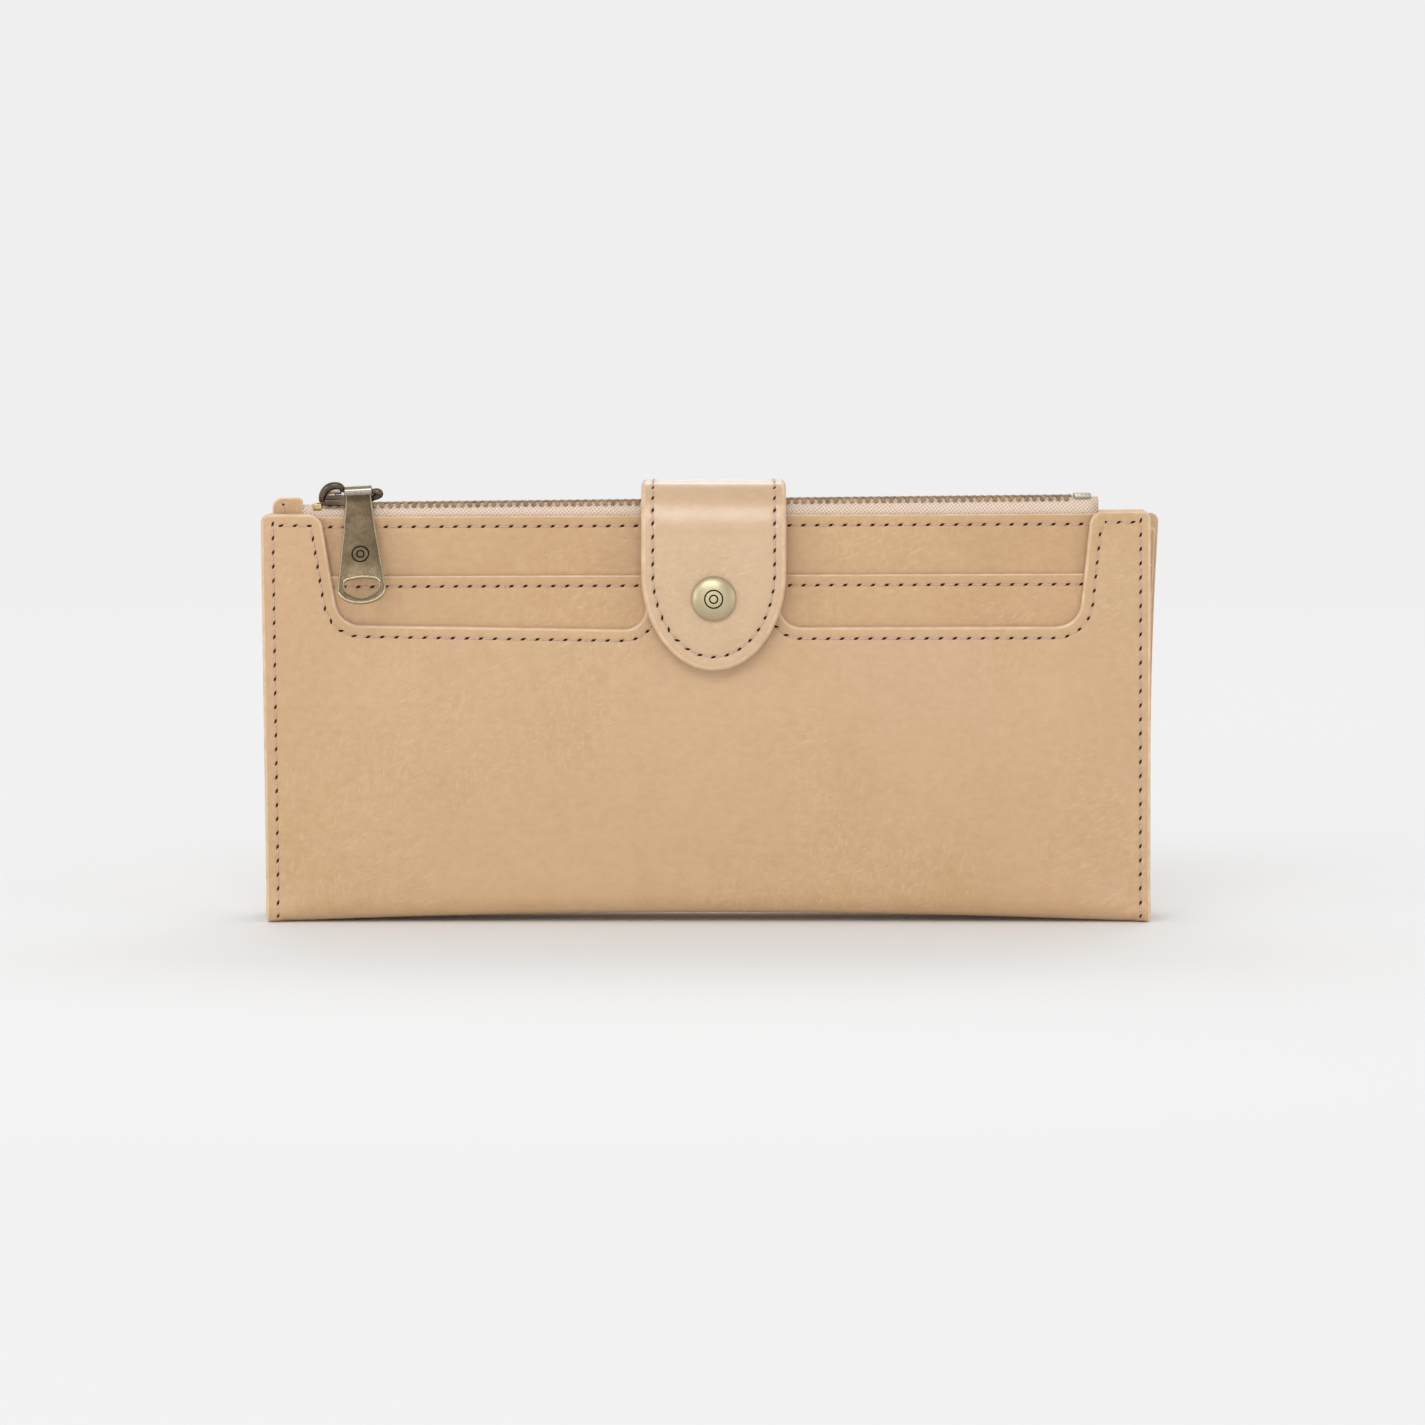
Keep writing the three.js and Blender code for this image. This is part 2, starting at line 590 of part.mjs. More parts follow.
/** The domed cap with its shank outside the strap, and the socket that grips the stud inside it. */
function snapCapAndSocket() {
  const group = new THREE.Group();
  const rimBack = STRAP_FRONT - GAP;
  const rimFront = rimBack - 0.3;
  const domeHeight = 0.8;
  const shankEnd = STRAP_FRONT + COVER_THICKNESS;
  const socketBack = FRONT - STRAP_STANDOFF + 0.9;
  const socketFront = FRONT - STRAP_STANDOFF + GAP;
  const domeSteps = 4;
  const dome = [];
  for (let step = 0; step <= domeSteps; step += 1) {
    const radius = CAP_RADIUS * step / domeSteps;
    dome.push([radius, rimFront - domeHeight * (1 - (radius / CAP_RADIUS) ** 2)]);
  }
  group.add(turned('snap_cap', [
    ...dome,
    [CAP_RADIUS, rimBack],
    [1, rimBack],
    [1, shankEnd],
    [0, shankEnd],
  ], brass()));
  group.add(turned('snap_socket', [
    [1.9, socketFront],
    [3.6, socketFront],
    [3.6, socketBack],
    [1.9, socketBack],
    [1.9, socketFront],
  ], brass()));
  return group;
}

// ---------------------------------------------------------------- assembly

const wallet = new THREE.Group();
wallet.add(
  foldGroup(),
  frontCover(),
  cardPockets(),
  zipChain(),
  zipPocket(),
  snapStud(),
  sliderBody(),
  sliderLowerPlate(),
  sliderBail(),
  zipPull(),
  rearLeaf(),
  strap(),
  snapCapAndSocket(),
);

export default wallet;
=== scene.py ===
"""A long wallet of glazed tan hide: two leaves folded at the bottom, a zip pocket and a snap strap.

Lengths below are in millimetres, along the frame's axes, and become metres when a mesh is made.
X runs to the right, -Y towards the camera and Z up.
"""
import json
import math

import bmesh
import bpy
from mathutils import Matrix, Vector
from mathutils.geometry import delaunay_2d_cdt


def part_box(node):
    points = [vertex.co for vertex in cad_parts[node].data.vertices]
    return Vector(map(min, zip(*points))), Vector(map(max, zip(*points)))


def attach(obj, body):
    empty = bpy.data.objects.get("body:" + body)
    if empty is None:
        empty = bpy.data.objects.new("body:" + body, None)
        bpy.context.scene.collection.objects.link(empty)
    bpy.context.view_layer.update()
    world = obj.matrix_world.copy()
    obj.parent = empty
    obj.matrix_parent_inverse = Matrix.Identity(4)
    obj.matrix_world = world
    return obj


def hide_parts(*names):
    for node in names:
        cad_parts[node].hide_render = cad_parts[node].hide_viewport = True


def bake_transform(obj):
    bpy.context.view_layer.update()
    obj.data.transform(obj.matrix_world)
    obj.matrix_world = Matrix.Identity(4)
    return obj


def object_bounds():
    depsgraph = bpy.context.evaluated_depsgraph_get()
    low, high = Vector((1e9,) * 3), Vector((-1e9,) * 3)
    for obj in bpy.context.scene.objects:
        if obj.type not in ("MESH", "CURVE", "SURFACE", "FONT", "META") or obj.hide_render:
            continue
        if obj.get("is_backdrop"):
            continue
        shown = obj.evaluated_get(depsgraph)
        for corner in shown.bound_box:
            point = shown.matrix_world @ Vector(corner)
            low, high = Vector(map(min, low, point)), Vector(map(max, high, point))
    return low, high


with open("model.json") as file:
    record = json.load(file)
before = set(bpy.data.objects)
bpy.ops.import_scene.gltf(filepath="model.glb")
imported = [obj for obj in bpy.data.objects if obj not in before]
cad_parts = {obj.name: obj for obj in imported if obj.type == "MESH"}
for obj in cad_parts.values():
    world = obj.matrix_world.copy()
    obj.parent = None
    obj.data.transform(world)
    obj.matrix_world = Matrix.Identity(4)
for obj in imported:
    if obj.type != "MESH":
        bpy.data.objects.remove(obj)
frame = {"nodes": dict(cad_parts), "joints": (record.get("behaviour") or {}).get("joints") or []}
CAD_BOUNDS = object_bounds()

MM = 0.001
ARC_STEP = math.radians(12)
LONGEST_EDGE = 1.6


# ---------------------------------------------------------------- sizes, from the frame

def box_mm(node):
    """A CAD node's (lowest, highest) corner in millimetres."""
    low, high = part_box(node)
    return Vector(low) / MM, Vector(high) / MM


# How far some details stand from their places in the CAD.
SLIDER_SHIFT = 0.5
STRAP_SHIFT = 0.4
CAP_RISE = 0.95

COVER_LOW, COVER_HIGH = box_mm("front_cover")
PANEL_LOW, PANEL_HIGH = box_mm("lower_card_panel")
TAPE_LOW = box_mm("zip_tape_front")[0]
CHAIN_LOW, CHAIN_HIGH = box_mm("zip_teeth_front")
CHAIN_REAR = box_mm("zip_teeth_rear")[1]
SLIDER_LOW, SLIDER_HIGH = (corner + Vector((SLIDER_SHIFT, 0, 0)) for corner in box_mm("slider_body"))
TIP_LOW, TIP_HIGH = box_mm("strap_tip_leather")
ARCH_LOW, ARCH_HIGH = box_mm("strap_bridge_leather")
ROOT_LOW = box_mm("strap_root_leather")[0]
CAP_LOW, CAP_HIGH = box_mm("snap_cap")

HALF = COVER_HIGH.x
FRONT = COVER_LOW.y
BACK = box_mm("back_cover")[1].y
COVER_TOP = COVER_HIGH.z
COVER_THICKNESS = COVER_HIGH.y - COVER_LOW.y
PANEL_THICKNESS = PANEL_HIGH.y - PANEL_LOW.y
CHAIN_Y = (CHAIN_LOW.y + CHAIN_REAR.y) / 2
STRAP_X = (TIP_LOW.x + TIP_HIGH.x) / 2 + STRAP_SHIFT
STRAP_HALF = (TIP_HIGH.x - TIP_LOW.x) / 2
SNAP_Z = (CAP_LOW.z + CAP_HIGH.z) / 2
CAP_Z = SNAP_Z + CAP_RISE

# The front cover's top edge: an ear at each end, a recess beside each, and a post under the strap.
RECESS_BOTTOM = 63.4
RECESS_LEFT_RISE = 0.8
RECESS_RADIUS = 5.4
EAR_WIDTH = 9.7
EAR_FOOT_WIDTH = 15.5
LEFT_EAR_FOOT_WIDTH = 16.6
EAR_RADIUS = 3.2
POST_TOP = 76.5
POST_RADIUS = 4
POST_FOOT_RADIUS = 4.6
POST_LEFT_INSET = 0.9  # from the strap's edge
POST_RIGHT_INSET = 1.4
POST_FOOT_DROP = 0.4
CORNER_RADIUS = 2.0
FOLD_RADIUS = 3.0

# Seams.
STITCH_PITCH = 3.05
STRAP_STITCH_PITCH = 2.9
STITCH_INSET = 2.5
SIDE_STITCH_INSET = 2.1
SEAM_BOTTOM = 1.2
SIDE_SEAM_DROP = 2.2  # from the cover's top to a side seam's last hole
LEFT_SEAM_SHIFT = 0.5  # how much further in the front cover's side seams lie
RIGHT_SEAM_SHIFT = 0.1
EAR_SEAM_START = 1.8  # the seam along the recesses starts this far in from the right side seam
EAR_SEAM_END = 2.2  # and ends this far in from the left one
POCKET_SEAM_DROP = 2.3  # from a pocket's top to its seam
CARD_SEAM_INSET = 5.5  # from a card panel's side to the end of its seam
TIER_SEAM_INSET = 3
DIVIDER_DROP = 9.5  # from a card tier's top to the foot of its middle seam


# ---------------------------------------------------------------- how the leather settles

def smooth(value):
    """An S-shaped step from 0 to 1."""
    value = min(1.0, max(0.0, value))
    return value * value * (3 - 2 * value)


def joint(name):
    return next(j for j in frame["joints"] if j["name"] == name)


LEAF_SLOPE = 0.0042  # how steeply the leaves rise towards their right ends, at their tops
LEAF_RISE = 0.4  # how much they rise there all along
LEAF_MIDDLE = 5.6  # from the wallet's middle plane to a leaf's
SEAM_REACH = 20  # a leaf has its full thickness this far in from its side seams
ARCH_HEIGHT = 2.0  # how far the fold stands off the floor, halfway along
ARCH_REACH = 34  # the arch has died away this far up
BULGE = 0.5


def settle(point, leaf):
    """Where a point of the flat pattern lies on the real wallet. Leaves thin out towards their side seams and
    bulge a little between them, the fold arches off the floor, and the rear leaf leans to the right.
    leaf is -1 for the front leaf, 1 for the rear one and 0 for the fold."""
    x, y, z = point
    inside = smooth((HALF - abs(x)) / SEAM_REACH)
    pinch = 0.66 + 0.34 * inside
    middle = leaf * LEAF_MIDDLE
    if leaf:
        y = middle + (y - middle) * (pinch + (1 - pinch) * smooth(1 - z / 8))
        y += leaf * BULGE * inside * smooth(z / 30) * smooth((62 - z) / 30 + 0.2)
    arch = ARCH_HEIGHT * (1 - (x / HALF) ** 2)
    height = z / COVER_TOP
    z_new = z + arch * (1 - smooth(z / ARCH_REACH)) + height * (LEAF_RISE + LEAF_SLOPE * x)
    x_new = x + 0.6 * (1 - height) - 0.1
    if leaf > 0:
        x_new += 1.6 * smooth(2 * height) + 4.8 * max(0.0, height - 0.4) ** 2
        z_new -= height * (0.2 + 1.1 * x / HALF)
    return Vector((x_new, y, z_new))


# ---------------------------------------------------------------- outlines

def unit(vector):
    return vector / max(vector.length, 1e-9)


def filleted(corners, closed=True, longest=LONGEST_EDGE):
    """Points along an outline through corners (x, z, radius), with an arc at each that has a radius."""
    points = []
    last = len(corners) - 1
    for index, corner in enumerate(corners):
        here = Vector(corner[:2])
        radius = corner[2] if len(corner) > 2 else 0
        if radius <= 0 or (not closed and index in (0, last)):
            points.append(here)
            continue
        before = unit(Vector(corners[index - 1][:2]) - here)
        after = unit(Vector(corners[(index + 1) % len(corners)][:2]) - here)
        half = before.angle(after) / 2
        centre = here + unit(before + after) * (radius / math.sin(half))
        first = here + before * (radius / math.tan(half)) - centre
        final = here + after * (radius / math.tan(half)) - centre
        start = math.atan2(first.y, first.x)
        sweep = (math.atan2(final.y, final.x) - start + math.pi) % (2 * math.pi) - math.pi
        steps = max(2, round(abs(sweep) / ARC_STEP))
        for step in range(steps + 1):
            angle = start + sweep * step / steps
            points.append(centre + radius * Vector((math.cos(angle), math.sin(angle))))
    return subdivided(points, closed, longest)


def subdivided(points, closed, longest):
    """The same path with no step longer than longest."""
    dense = []
    pairs = zip(points, points[1:] + points[:1]) if closed else zip(points, points[1:])
    for here, there in pairs:
        steps = max(1, math.ceil((there - here).length / longest))
        dense += [here.lerp(there, step / steps) for step in range(steps)]
    if not closed:
        dense.append(points[-1])
    return dense


def inset_corners(corners, distance):
    """Counter-clockwise corners moved inward, with their radii kept concentric."""
    moved = []
    count = len(corners)
    for index, corner in enumerate(corners):
        here = Vector(corner[:2])
        arriving = unit(here - Vector(corners[index - 1][:2]))
        leaving = unit(Vector(corners[(index + 1) % count][:2]) - here)
        normal_in = Vector((-arriving.y, arriving.x))
        normal_out = Vector((-leaving.y, leaving.x))
        shift = (normal_in + normal_out) / (1 + normal_in.dot(normal_out)) * distance
        turn = arriving.x * leaving.y - arriving.y * leaving.x
        radius = corner[2] if len(corner) > 2 else 0
        radius = max(0.0, radius - distance) if turn > 0 else radius + distance
        moved.append((here.x + shift.x, here.y + shift.y, radius))
    return moved


def pushed_in(points, distance):
    """Each point of a dense counter-clockwise loop moved inward along its own normal."""
    moved = []
    count = len(points)
    for index, here in enumerate(points):
        along = unit(points[(index + 1) % count] - here) + unit(here - points[index - 1])
        normal = unit(Vector((-along.y, along.x)))
        moved.append(here + normal * distance)
    return moved


def stretch(points, start, end):
    """The part of a dense closed loop from the point nearest start forward to the point nearest end."""
    first = min(range(len(points)), key=lambda i: (points[i] - Vector(start)).length)
    last = min(range(len(points)), key=lambda i: (points[i] - Vector(end)).length)
    if last < first:
        last += len(points)
    return [points[i % len(points)] for i in range(first, last + 1)]


def along(points, pitch):
    """Evenly spaced (point, direction) along a path, at about that pitch."""
    lengths = [0.0]
    for here, there in zip(points, points[1:]):
        lengths.append(lengths[-1] + (there - here).length)
    count = max(1, round(lengths[-1] / pitch))
    marks = []
    segment = 0
    for step in range(count + 1):
        target = lengths[-1] * step / count
        while segment < len(points) - 2 and lengths[segment + 1] < target:
            segment += 1
        here, there = points[segment], points[segment + 1]
        span = max((there - here).length, 1e-9)
        marks.append((here.lerp(there, (target - lengths[segment]) / span), unit(there - here)))
    return marks


def rectangle(left, right, bottom, top, radius):
    return [(left, bottom, radius), (right, bottom, radius), (right, top, radius), (left, top, radius)]


# ---------------------------------------------------------------- mesh making

def mesh_object(name, points_mm, faces, materials, face_materials=None, flat=False):
    """A mesh object from points in millimetres."""
    mesh = bpy.data.meshes.new(name)
    mesh.from_pydata([tuple(Vector(p) * MM) for p in points_mm], [], faces)
    for material in materials:
        mesh.materials.append(material)
    if face_materials:
        mesh.polygons.foreach_set("material_index", face_materials)
    if not flat:
        mesh.polygons.foreach_set("use_smooth", [True] * len(mesh.polygons))
    mesh.update()
    piece = bpy.data.objects.new(name, mesh)
    bpy.context.scene.collection.objects.link(piece)
    return piece


class Builder:
    """Collects points and faces, then makes one object of them."""

    def __init__(self):
        self.points = []
        self.faces = []
        self.kinds = []

    def point(self, position):
        self.points.append(position)
        return len(self.points) - 1

    def face(self, indices, kind=0):
        self.faces.append(tuple(indices))
        self.kinds.append(kind)

    def strip(self, ring, other, kind=0, closed=True):
        """Quads between two rings of the same length."""
        count = len(ring)
        for index in range(count if closed else count - 1):
            following = (index + 1) % count
            self.face((ring[index], ring[following], other[following], other[index]), kind)

    def tube(self, path, radius, sides=6, kind=0):
        """A closed tube along a path of 3-D points. radius is one number, or one for each point."""
        rings = []
        radii = [radius] * len(path) if isinstance(radius, (int, float)) else radius
        for index, here in enumerate(path):
            direction = unit(path[min(index + 1, len(path) - 1)] - path[max(index - 1, 0)])
            across = unit(direction.cross(Vector((0.31, 0.87, 0.38))))
            upward = direction.cross(across)
            ring = []
            for side in range(sides):
                angle = 2 * math.pi * side / sides
                offset = across * math.cos(angle) + upward * math.sin(angle)
                ring.append(self.point(here + offset * radii[index]))
            rings.append(ring)
        for ring, other in zip(rings, rings[1:]):
            self.strip(ring, other, kind)
        self.face(reversed(rings[0]), kind)
        self.face(rings[-1], kind)

    def make(self, name, materials, flat=False):
        return mesh_object(name, self.points, self.faces, materials, self.kinds, flat)


SETTLE_BAND = 0.45  # a last narrow ring, so that the rim's rounding stays off the flat face


def rim_profile(thickness, roll, back=0.2, steps=4):
    """(inset, depth) points round a plate's edge, from its front face to its back face. roll is the
    (inset, depth) of the rounded front edge."""
    inset, depth = roll
    profile = [(inset + SETTLE_BAND, 0)]
    for step in range(steps + 1):
        angle = math.pi / 2 * step / steps
        profile.append((inset * (1 - math.sin(angle)), depth * (1 - math.cos(angle))))
    back = min(back, thickness - depth)
    if back > 0.01:
        profile.append((0, thickness - back))
        profile.append((back * 0.3, thickness - back * 0.3))
        profile.append((back, thickness))
    profile.append((back + SETTLE_BAND, thickness))
    return profile


PIT_SIDES = 8
PIT_LENGTH = 0.66
PIT_WIDTH = 0.25
PIT_LIP = 0.2
PIT_DEPTH = 0.5
PIT_RINGS = ((PIT_LIP, 0.03), (0.0, 0.14), (-0.07, PIT_DEPTH))  # (growth, depth)
SEAM_SINK = 0.1
SEAM_HALF = 0.8
LONGEST_FURROW = 4.5
SPOT_CLEARANCE = 0.9


def slant(direction):
    """The angle of an awl hole: it leans a third of the way from its seam's direction towards 45 degrees."""
    angle = math.degrees(math.atan2(direction.y, direction.x)) % 180
    if angle > 135:
        angle -= 180
    return math.radians(angle + (45 - angle) * 0.33)


def pit_ring(centre, direction, grow=0.0):
    angle = slant(direction)
    points = []
    for side in range(PIT_SIDES):
        turn = 2 * math.pi * side / PIT_SIDES
        u = (PIT_LENGTH + grow) * math.cos(turn)
        v = (PIT_WIDTH + grow) * math.sin(turn)
        points.append(centre + Vector((u * math.cos(angle) - v * math.sin(angle),
                                       u * math.sin(angle) + v * math.cos(angle))))
    return points


def inside_loop(point, loop):
    """Whether a 2-D point is inside a closed loop."""
    odd = False
    for here, before in zip(loop, loop[-1:] + loop[:-1]):
        if (here.y > point.y) != (before.y > point.y):
            crossing = (before.x - here.x) * (point.y - here.y) / (before.y - here.y) + here.x
            odd ^= point.x < crossing
    return odd


class Face:
    """A flat face with openings, filled with triangles from loops of numbered mesh points and loose spots."""

    def __init__(self, builder, place, depth, flip):
        self.builder = builder
        self.place = place
        self.depth = depth
        self.flip = flip
        self.flat = []
        self.owners = []
        self.sinks = []
        self.openings = []
        self.edges = []

    def loop(self, points, numbers, opening=0):
        start = len(self.flat)
        count = len(points)
        self.flat += points
        self.owners += numbers
        self.sinks += [0.0] * count
        self.openings += [opening] * count
        self.edges += [(start + i, start + (i + 1) % count) for i in range(count)]

    def spot(self, point, sink=0.0):
        self.flat.append(point)
        self.owners.append(None)
        self.sinks.append(sink)
        self.openings.append(0)

    def pit(self, centre, direction, opening):
        """A needle hole: a softly pulled-in lip, and lower walls and a floor in a near-black colour that is
        painted shade.
        """
        builder = self.builder
        lip = pit_ring(centre, direction, PIT_LIP)
        rings = []
        for grow, depth in PIT_RINGS:
            points = pit_ring(centre, direction, grow)
            rings.append([builder.point(self.place(p.x, p.y, self.depth + depth)) for p in points])
        self.loop(lip, rings[0], opening)
        builder.strip(rings[0], rings[1], 0)
        builder.strip(rings[1], rings[2], 2)
        builder.face(rings[2], 2)

    def seam(self, marks):
        """The shallow furrow a seam pulls into the leather between its holes."""
        for (here, heading), (there, _) in zip(marks, marks[1:]):
            if (there - here).length > LONGEST_FURROW:
                continue
            across = Vector((-heading.y, heading.x)) * SEAM_HALF
            middle = here.lerp(there, 0.5)
            self.spot(middle, SEAM_SINK)
            for centre in (here, middle):
                self.spot(centre + across)
                self.spot(centre - across)

    def grid(self, boundary, spacing):
        """Loose spots inside the boundary, clear of everything already placed."""
        low = Vector((min(p.x for p in boundary), min(p.y for p in boundary)))
        high = Vector((max(p.x for p in boundary), max(p.y for p in boundary)))
        cells = {}
        for blocker in self.flat:
            cells.setdefault((int(blocker.x // spacing), int(blocker.y // spacing)), []).append(blocker)
        for row in range(1, int((high.y - low.y) / spacing) + 1):
            for column in range(1, int((high.x - low.x) / spacing) + 1):
                point = Vector((low.x + column * spacing, low.y + row * spacing))
                cell = (int(point.x // spacing), int(point.y // spacing))
                around = [(cell[0] + i, cell[1] + j) for i in (-1, 0, 1) for j in (-1, 0, 1)]
                near = (blocker for key in around for blocker in cells.get(key, ()))
                if any((blocker - point).length < SPOT_CLEARANCE for blocker in near):
                    continue
                if inside_loop(point, boundary):
                    self.spot(point)

    def fill(self, kind=0):
        places, _, triangles, origins, _, _ = delaunay_2d_cdt(self.flat, self.edges, [], 2, 1e-6)
        numbers = []
        openings = []
        for position, origin in zip(places, origins):
            owner = next((self.owners[i] for i in origin if self.owners[i] is not None), None)
            if owner is None:
                sink = max((self.sinks[i] for i in origin), default=0.0)
                owner = self.builder.point(self.place(position.x, position.y, self.depth + sink))
            numbers.append(owner)
            openings.append(max((self.openings[i] for i in origin), default=0))
        for triangle in triangles:
            around = {openings[i] for i in triangle}
            if len(around) == 1 and around != {0}:
                continue
            a, b, c = (places[i] for i in triangle)
            clockwise = (b.x - a.x) * (c.y - a.y) - (b.y - a.y) * (c.x - a.x) < 0
            order = triangle if clockwise != self.flip else tuple(reversed(triangle))
            self.builder.face([numbers[i] for i in order], kind)


def spaced_marks(seams, clearance=1.1):
    """The marks of all seams, without those that would run into one already taken."""
    taken = []
    for centre, direction in (mark for seam in seams for mark in seam):
        if all((centre - other).length > clearance for other, _ in taken):
            taken.append((centre, direction))
    return taken


def plate(name, corners, thickness, place, materials, roll=(0.3, 0.3), seams=(), holes=(), spacing=3.2):
    """A leather or cloth layer: a rounded rim round an outline, and a front and a back face.

    place(x, z, depth) gives the 3-D point at that depth behind the front face. materials are for the faces,
    the rim and the pits.
    """
    builder = Builder()
    rim = filleted(corners)
    rings = []
    for inset, depth in rim_profile(thickness, roll):
        loop = pushed_in(rim, inset)
        rings.append((loop, [builder.point(place(p.x, p.y, depth)) for p in loop]))
    last = len(rings) - 2
    for index, ((_, ring), (_, other)) in enumerate(zip(rings, rings[1:])):
        builder.strip(list(reversed(ring)), list(reversed(other)), 0 if index in (0, last) else 1)
    front = Face(builder, place, 0, True)
    back = Face(builder, place, thickness, False)
    front.loop(*rings[0])
    back.loop(*rings[-1])
    for number, (centre, radius) in enumerate(holes, 1):
        turns = [2 * math.pi * i / 24 for i in range(24)]
        loop = [Vector(centre) + radius * Vector((math.cos(t), math.sin(t))) for t in turns]
        front_ring = [builder.point(place(p.x, p.y, 0)) for p in loop]
        back_ring = [builder.point(place(p.x, p.y, thickness)) for p in loop]
        builder.strip(front_ring, back_ring, 1)
        front.loop(loop, front_ring, number)
        back.loop(loop, back_ring, number)
    for number, (centre, direction) in enumerate(spaced_marks(seams), len(holes) + 1):
        front.pit(centre, direction, number)
    for seam in seams:
        front.seam(seam)
    front.grid(rings[0][0], spacing)
    back.grid(rings[-1][0], spacing)
    front.fill()
    back.fill()
    return builder.make(name, materials)


THREAD_RADIUS = 0.15
THREAD_ENTRY = 0.42  # from the middle of a hole to where its thread dives in
SHORTEST_STITCH = 1.0
THREAD_PATH = (  # how far along a stitch, and how deep
    (0.0, 0.45), (0.05, 0.12), (0.15, 0.0), (0.36, -0.04),
    (0.64, -0.04), (0.85, 0.0), (0.95, 0.12), (1.0, 0.45),
)


def stitches(name, seams, place, material):
    """Thread between the holes of each seam. It lies in the seam's furrow and dives in at each hole."""
    builder = Builder()
    for marks in seams:
        for (start, _), (end, _) in zip(marks, marks[1:]):
            if (end - start).length < SHORTEST_STITCH:
                continue
            inset = unit(end - start) * THREAD_ENTRY
            first, last = start + inset, end - inset
            path = []
            for part, depth in THREAD_PATH:
                flat = first.lerp(last, part)
                path.append(place(flat.x, flat.y, depth))
            builder.tube(path, THREAD_RADIUS)
    return builder.make(name, [material])


# ---------------------------------------------------------------- materials

def new_material(name):
    material = bpy.data.materials.new(name)
    material.use_nodes = True
    nodes = material.node_tree.nodes
    shader = nodes["Principled BSDF"]
    coordinates = nodes.new("ShaderNodeTexCoord").outputs["Object"]
    return material, material.node_tree, shader, coordinates


def linear(red, green, blue):
    """An sRGB colour of 0 to 255 as a linear one."""
    def channel(value):
        value /= 255
        return value / 12.92 if value <= 0.04045 else ((value + 0.055) / 1.055) ** 2.4
    return (channel(red), channel(green), channel(blue), 1.0)


def stretched(tree, coordinates, scale=(1, 1, 1), rotation=(0, 0, 0)):
    mapping = tree.nodes.new("ShaderNodeMapping")
    mapping.inputs["Scale"].default_value = scale
    mapping.inputs["Rotation"].default_value = rotation
    tree.links.new(coordinates, mapping.inputs["Vector"])
    return mapping.outputs["Vector"]


def noise_field(tree, vector, scale, detail=4.0, roughness=0.55, distortion=0.0):
    node = tree.nodes.new("ShaderNodeTexNoise")
    node.inputs["Scale"].default_value = scale
    node.inputs["Detail"].default_value = detail
    node.inputs["Roughness"].default_value = roughness
    node.inputs["Distortion"].default_value = distortion
    tree.links.new(vector, node.inputs["Vector"])
    return node.outputs["Fac"]


def ramp(tree, value, low, high, from_value=0.0, to_value=1.0):
    """value, mapped from low..high to from_value..to_value and held at the ends."""
    node = tree.nodes.new("ShaderNodeMapRange")
    node.inputs["From Min"].default_value = low
    node.inputs["From Max"].default_value = high
    node.inputs["To Min"].default_value = from_value
    node.inputs["To Max"].default_value = to_value
    tree.links.new(value, node.inputs["Value"])
    return node.outputs["Result"]


def combine(tree, operation, first, second):
    node = tree.nodes.new("ShaderNodeMath")
    node.operation = operation
    for socket, value in zip(node.inputs, (first, second)):
        if isinstance(value, (int, float)):
            socket.default_value = value
        else:
            tree.links.new(value, socket)
    return node.outputs["Value"]


def times(tree, first, second):
    return combine(tree, "MULTIPLY", first, second)


def plus(tree, first, second):
    return combine(tree, "ADD", first, second)


def mixed(tree, amount, first, second):
    """A colour between two colours or colour sockets."""
    node = tree.nodes.new("ShaderNodeMix")
    node.data_type = "RGBA"
    tree.links.new(amount, node.inputs["Factor"])
    colour_inputs = [s for s in node.inputs if s.type == "RGBA"]
    for socket, value in zip(colour_inputs, (first, second)):
        if isinstance(value, tuple):
            socket.default_value = value
        else:
            tree.links.new(value, socket)
    return next(s for s in node.outputs if s.type == "RGBA")


def bump(tree, shader, height, strength, distance):
    node = tree.nodes.new("ShaderNodeBump")
    node.inputs["Strength"].default_value = strength
    node.inputs["Distance"].default_value = distance
    tree.links.new(height, node.inputs["Height"])
    tree.links.new(node.outputs["Normal"], shader.inputs["Normal"])


def wrinkles(tree, place, direction):
    """Short thin creases that run in one direction: 1 on a crease, 0 off it."""
    turned_place = stretched(tree, place, rotation=(0, direction, 0))
    field = noise_field(tree, stretched(tree, turned_place, (0.24, 1, 1)), 1900, 3, 0.55, 0.7)
    return ramp(tree, field, 0.53, 0.74)


